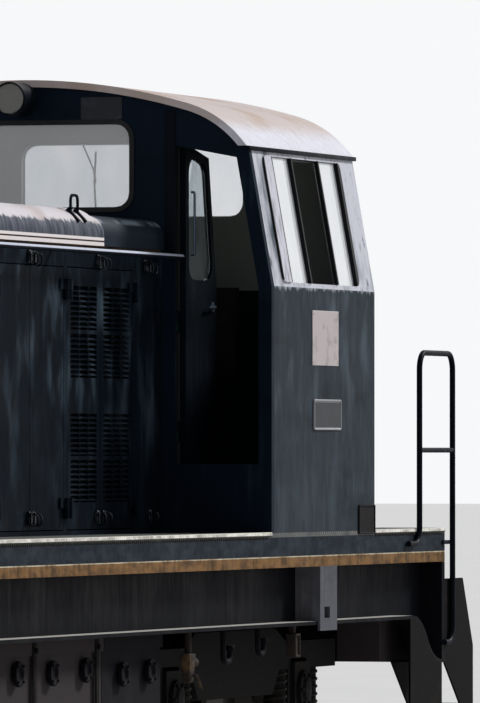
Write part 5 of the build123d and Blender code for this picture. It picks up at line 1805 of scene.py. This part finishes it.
@dataclass
class BogieDetails:
    """Springs, axlebox caps, brake shoes and their hangers on one bogie.

    Attributes:
        body: The bogie's body.
        pivot_x: Where its pivot is.
        half_base: From the pivot to each axle.
        spring_x: From an axle to the springs beside it.
        axle_z: Height of its axles.
        tread_r: Radius of its wheels' treads.
        shoe_y: Middle of a wheel's tread, where its shoes press.
    """

    body: str
    pivot_x: float
    half_base: float = 1.2
    spring_x: float = 0.3
    axle_z: float = 0.578
    tread_r: float = 0.550
    shoe_y: float = -0.765

    def build(self) -> None:
        """Builds every piece of the bogie."""
        self.axles = (self.pivot_x - self.half_base, self.pivot_x + self.half_base)
        self.base = 2 * self.half_base
        self.springs()
        self.caps()
        self.shoes()
        self.hangers()

    def springs(self) -> None:
        """Winds the coil springs on both sides of each axlebox."""
        springs = Piece(f"{self.body}_springs", Finish.SPRING, self.body)
        springs.coil((self.axles[0] - self.spring_x, -1.050, 0.466), 0.060, 0.012, 5, 0.044)
        apart = 2 * self.spring_x
        springs.copies([(apart, 0, 0), (self.base, 0, 0), (self.base + apart, 0, 0)])
        springs.done(both_sides=True)

    def caps(self) -> None:
        """Makes the bolted caps of the axleboxes."""
        caps = Piece(f"{self.body}_axle_caps", Finish.BOGIE, self.body)
        x, z = self.axles[0], self.axle_z
        y = -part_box("axleboxes_front")[1].y
        caps.drum((x, y + 0.002, z), (x, y - 0.024, z), 0.112, 24)
        caps.press((0, -1, 0), 0.040, (0, -0.016, 0))
        caps.squeeze((0.85, 1, 0.85), (x, 0, z))
        caps.soften(0.004)
        caps.bolts((x, y - 0.022, z), 0.092, range(0, 360, 60), 0.016, 0.013, 0.002)
        caps.copies([(self.base, 0, 0)])
        caps.done(both_sides=True)

    def shoes(self) -> None:
        """Spins a brake shoe round each side of each wheel."""
        shoes = Piece(f"{self.body}_brake_shoes", Finish.MACHINE, self.body)
        axle = (self.axles[0], 0, self.axle_z)
        deselect()
        bpy.ops.mesh.primitive_plane_add(
            size=1.0, location=(axle[0] - self.tread_r - 0.040, self.shoe_y, self.axle_z)
        )
        bpy.context.object.scale = (0.052, 0.080, 1.0)
        shoes.settle()
        shoes.pick(lambda middle, normal: True)
        turn = math.radians(16)
        bpy.ops.transform.rotate(value=turn, orient_axis="Y", center_override=axle)
        bpy.ops.mesh.spin(steps=8, angle=2 * turn, center=axle, axis=(0, 1, 0))
        turn_outwards()
        shoes.soften(0.006)
        shoes.gather()
        shoes.on_both_sides()
        shoes.copies([(self.base, 0, 0)])
        shoes.copies([(2 * self.pivot_x, 0, 0)], (-1.0, 1.0, 1.0))
        shoes.done()

    def hangers(self) -> None:
        """Makes the brake hangers from the side frame down to each shoe."""
        hangers = Piece(f"{self.body}_brake_hangers", Finish.BOGIE, self.body)
        y, z = self.shoe_y, self.axle_z
        for axle_x in self.axles:
            for way in (-1, 1):
                x = axle_x + way * (self.tread_r + 0.078)
                path = ((x, -1.010, 0.800), (x, y, 0.800), (x, y, z - 0.020))
                hangers.bar(path, 0.019, 0.050, 10)
                hangers.drum((x, y + 0.030, z), (x, y - 0.030, z), 0.034, 12)
                hangers.soften(0.004, 1)
        hangers.done(both_sides=True)


@dataclass
class EndDetails:
    """Couplings, buffer bolts, tread nosings and lamp rims at both ends.

    Attributes:
        face_x: Outer face of the headstock.
        hook_x: Middle of the draw hook's mouth.
        link_r: Radius of the coupling's bars.
        link_y: Half the width of its links.
        bolt_reach: From the middle of a base plate to its bolts, along Y and Z.
    """

    face_x: float = 6.790
    hook_x: float = 6.985
    link_r: float = 0.019
    link_y: float = 0.058
    bolt_reach: float = 0.132

    def build(self) -> None:
        """Builds every piece of the ends."""
        self.couplings()
        self.base_plate_bolts()
        self.nosings()
        self.lamp_rims()

    def link(self, chain: Piece, feet_z: float, bow_z: float, bend: float) -> None:
        """Adds one U-shaped link of the coupling.

        Args:
            chain: The piece that it belongs to.
            feet_z: Height of its two ends.
            bow_z: Height of its bow.
            bend: Radius of its bends.
        """
        near, far = ((self.hook_x, y) for y in (-self.link_y, self.link_y))
        path = ((*near, feet_z), (*near, bow_z), (*far, bow_z), (*far, feet_z))
        chain.bar(path, self.link_r, bend, 10)

    def couplings(self) -> None:
        """Makes the screw couplings that hang from the draw hooks."""
        chain = Piece("screw_couplings", Finish.MACHINE)
        x = self.hook_x
        self.link(chain, 0.790, 1.046, 0.040)
        for z in (0.780, 0.600):
            chain.block((x - 0.030, -0.095, z - 0.028), (x + 0.030, 0.095, z + 0.028))
            chain.round_corners((1, 0, 0), 0.020, 3)
            chain.soften(0.004)
        chain.drum((x, 0, 0.790), (x, 0, 0.590), 0.024, 14)
        for step in range(9):
            chain.drum((x, 0, 0.622 + 0.016 * step), (x, 0, 0.630 + 0.016 * step), 0.029, 14)
            chain.soften(0.002, 1)
        self.link(chain, 0.600, 0.400, 0.050)
        chain.bar(((x, 0, 0.690), (x + 0.070, 0, 0.690), (x + 0.110, 0, 0.610)), 0.011, 0.020)
        chain.drum((x + 0.108, 0, 0.618), (x + 0.118, 0, 0.588), 0.024, 12)
        chain.soften(0.008, 3)
        chain.at_both_ends()
        chain.done()

    def base_plate_bolts(self) -> None:
        """Makes the bolts of the buffers' and draw hooks' base plates."""
        bolts = Piece("base_plate_bolts", Finish.BUFFER)
        x = self.face_x
        for y, z in ((-0.875, 1.078), (0.875, 1.078), (0.0, 1.050)):
            for way_y, way_z in ((-1, -1), (-1, 1), (1, -1), (1, 1)):
                spot = (y + way_y * self.bolt_reach, z + way_z * self.bolt_reach)
                bolts.drum((x - 0.002, *spot), (x + 0.020, *spot), 0.021, 6)
                bolts.soften(0.003, 1)
                bolts.drum((x + 0.018, *spot), (x + 0.034, *spot), 0.011, 10)
                bolts.soften(0.002, 1)
        bolts.at_both_ends()
        bolts.done()

    def nosings(self) -> None:
        """Makes the worn nosings on the treads of the end steps."""
        nosings = Piece("step_nosings", Finish.TREAD)
        for z, end_x in ((0.420, 7.330), (0.755, 7.220), (1.090, 7.110)):
            nosings.block((self.face_x, -1.462, z + 0.008), (end_x, -1.436, z + 0.014))
            nosings.press((0, 0, 1), 0.004, (0, 0, 0.002))
            nosings.soften(0.001, 1)
        nosings.on_both_sides()
        nosings.at_both_ends()
        nosings.done()

    def lamp_rims(self) -> None:
        """Makes the bright rims round the marker lamps."""
        rims = Piece("marker_lamp_rims", Finish.HANDRAIL)
        for y in (-1.180, 1.180):
            low, high = (6.806, y - 0.086, 1.224), (6.816, y + 0.086, 1.396)
            rims.open_frame(low, high, 0.085, 0.010, 8)
        rims.at_both_ends()
        rims.done()


@dataclass
class Studio:
    """A pale floor and backdrop, soft lamps and the camera.

    Attributes:
        camera_place: Where the camera stands.
        forward: The level direction that it looks along.
        pitch_deg: How far it looks up.
        focal_px: Focal length in pixels of the photograph.
        frame_px: Height of the photograph in pixels.
        sensor_mm: Size of the sensor's long side.
    """

    camera_place: tuple[float, float, float] = (-44.98, -16.56, 1.938)
    forward: tuple[float, float] = (0.9534, 0.3017)
    pitch_deg: float = 0.66
    focal_px: float = 9000.0
    frame_px: float = 703.0
    sensor_mm: float = 36.0

    def build(self) -> None:
        """Sets the camera, the lamps, the world and the floor."""
        self.set_camera()
        self.set_lamps()
        self.set_floor()

    def set_camera(self) -> None:
        """Adds the camera at the photograph's viewing angle."""
        bpy.ops.object.camera_add(location=self.camera_place)
        camera = bpy.context.object
        camera.name = "camera"
        camera.data.sensor_width = self.sensor_mm
        camera.data.lens = self.focal_px / self.frame_px * self.sensor_mm
        camera.data.clip_end = 500.0
        rise = math.sin(math.radians(self.pitch_deg))
        level = math.cos(math.radians(self.pitch_deg))
        aim = Vector((self.forward[0] * level, self.forward[1] * level, rise))
        camera.rotation_euler = aim.to_track_quat("-Z", "Y").to_euler()
        bpy.context.scene.camera = camera

    def set_lamps(self) -> None:
        """Adds a broad key lamp from the right side and above, a weak fill and a pale world."""
        lamps = (  # name, direction of travel, strength, softness in degrees
            ("key_lamp", (-0.70, 0.42, -0.58), 3.6, 10.0),
            ("fill_lamp", (0.7, -0.5, -0.35), 0.12, 40.0),
        )
        for name, travel, strength, softness in lamps:
            bpy.ops.object.light_add(type="SUN", location=(0, 0, 12))
            lamp = bpy.context.object
            lamp.name = name
            lamp.data.energy = strength
            lamp.data.angle = math.radians(softness)
            lamp.rotation_euler = Vector(travel).to_track_quat("-Z", "Y").to_euler()
        world = bpy.data.worlds.new("studio_world")
        bpy.context.scene.world = world
        world.use_nodes = True
        tree = world.node_tree
        tree.nodes.clear()
        rays = add_node(tree, Step.LIGHT_PATH).node.outputs
        seen = add_node(tree, Step.LARGER, rays["Is Camera Ray"], rays["Is Transmission Ray"])
        seen = add_node(tree, Step.LARGER, seen, rays["Is Glossy Ray"])
        soft = add_node(tree, Step.BACKGROUND, "#e8edf7", 0.26)
        white = add_node(tree, Step.BACKGROUND, "#f7f8fa", 1.0)
        add_node(tree, Step.WORLD, add_node(tree, Step.MIX_LIGHT, seen, soft, white))

    def set_floor(self) -> None:
        """Adds a wide pale floor under the wheels."""
        bpy.ops.mesh.primitive_plane_add(size=600.0, location=(0, 0, 0))
        floor = bpy.context.object
        floor.name = "studio_floor"
        shader = Shader("studio_floor")
        speckle = shader.grain((900, 900, 900), 2.0, 0.5)
        shade = shader.add(Step.MIX, speckle, "#d9d8d6", "#cfcecc")
        floor.data.materials.append(shader.finish(shade, 0.9))


def main() -> None:
    """Builds the locomotive's looks in order."""
    logging.basicConfig(level=logging.INFO, format="%(message)s")
    bpy.context.scene.view_settings.view_transform = "Standard"
    dress_frame()
    CabDetails().build()
    HoodDetails().build()
    DeckEdge().build()
    UnderframeDetails().build()
    BogieDetails("bogie_front", -3.8).build()
    BogieDetails("bogie_rear", 3.8).build()
    EndDetails().build()
    Studio().build()


if __name__ == "__main__":
    main()
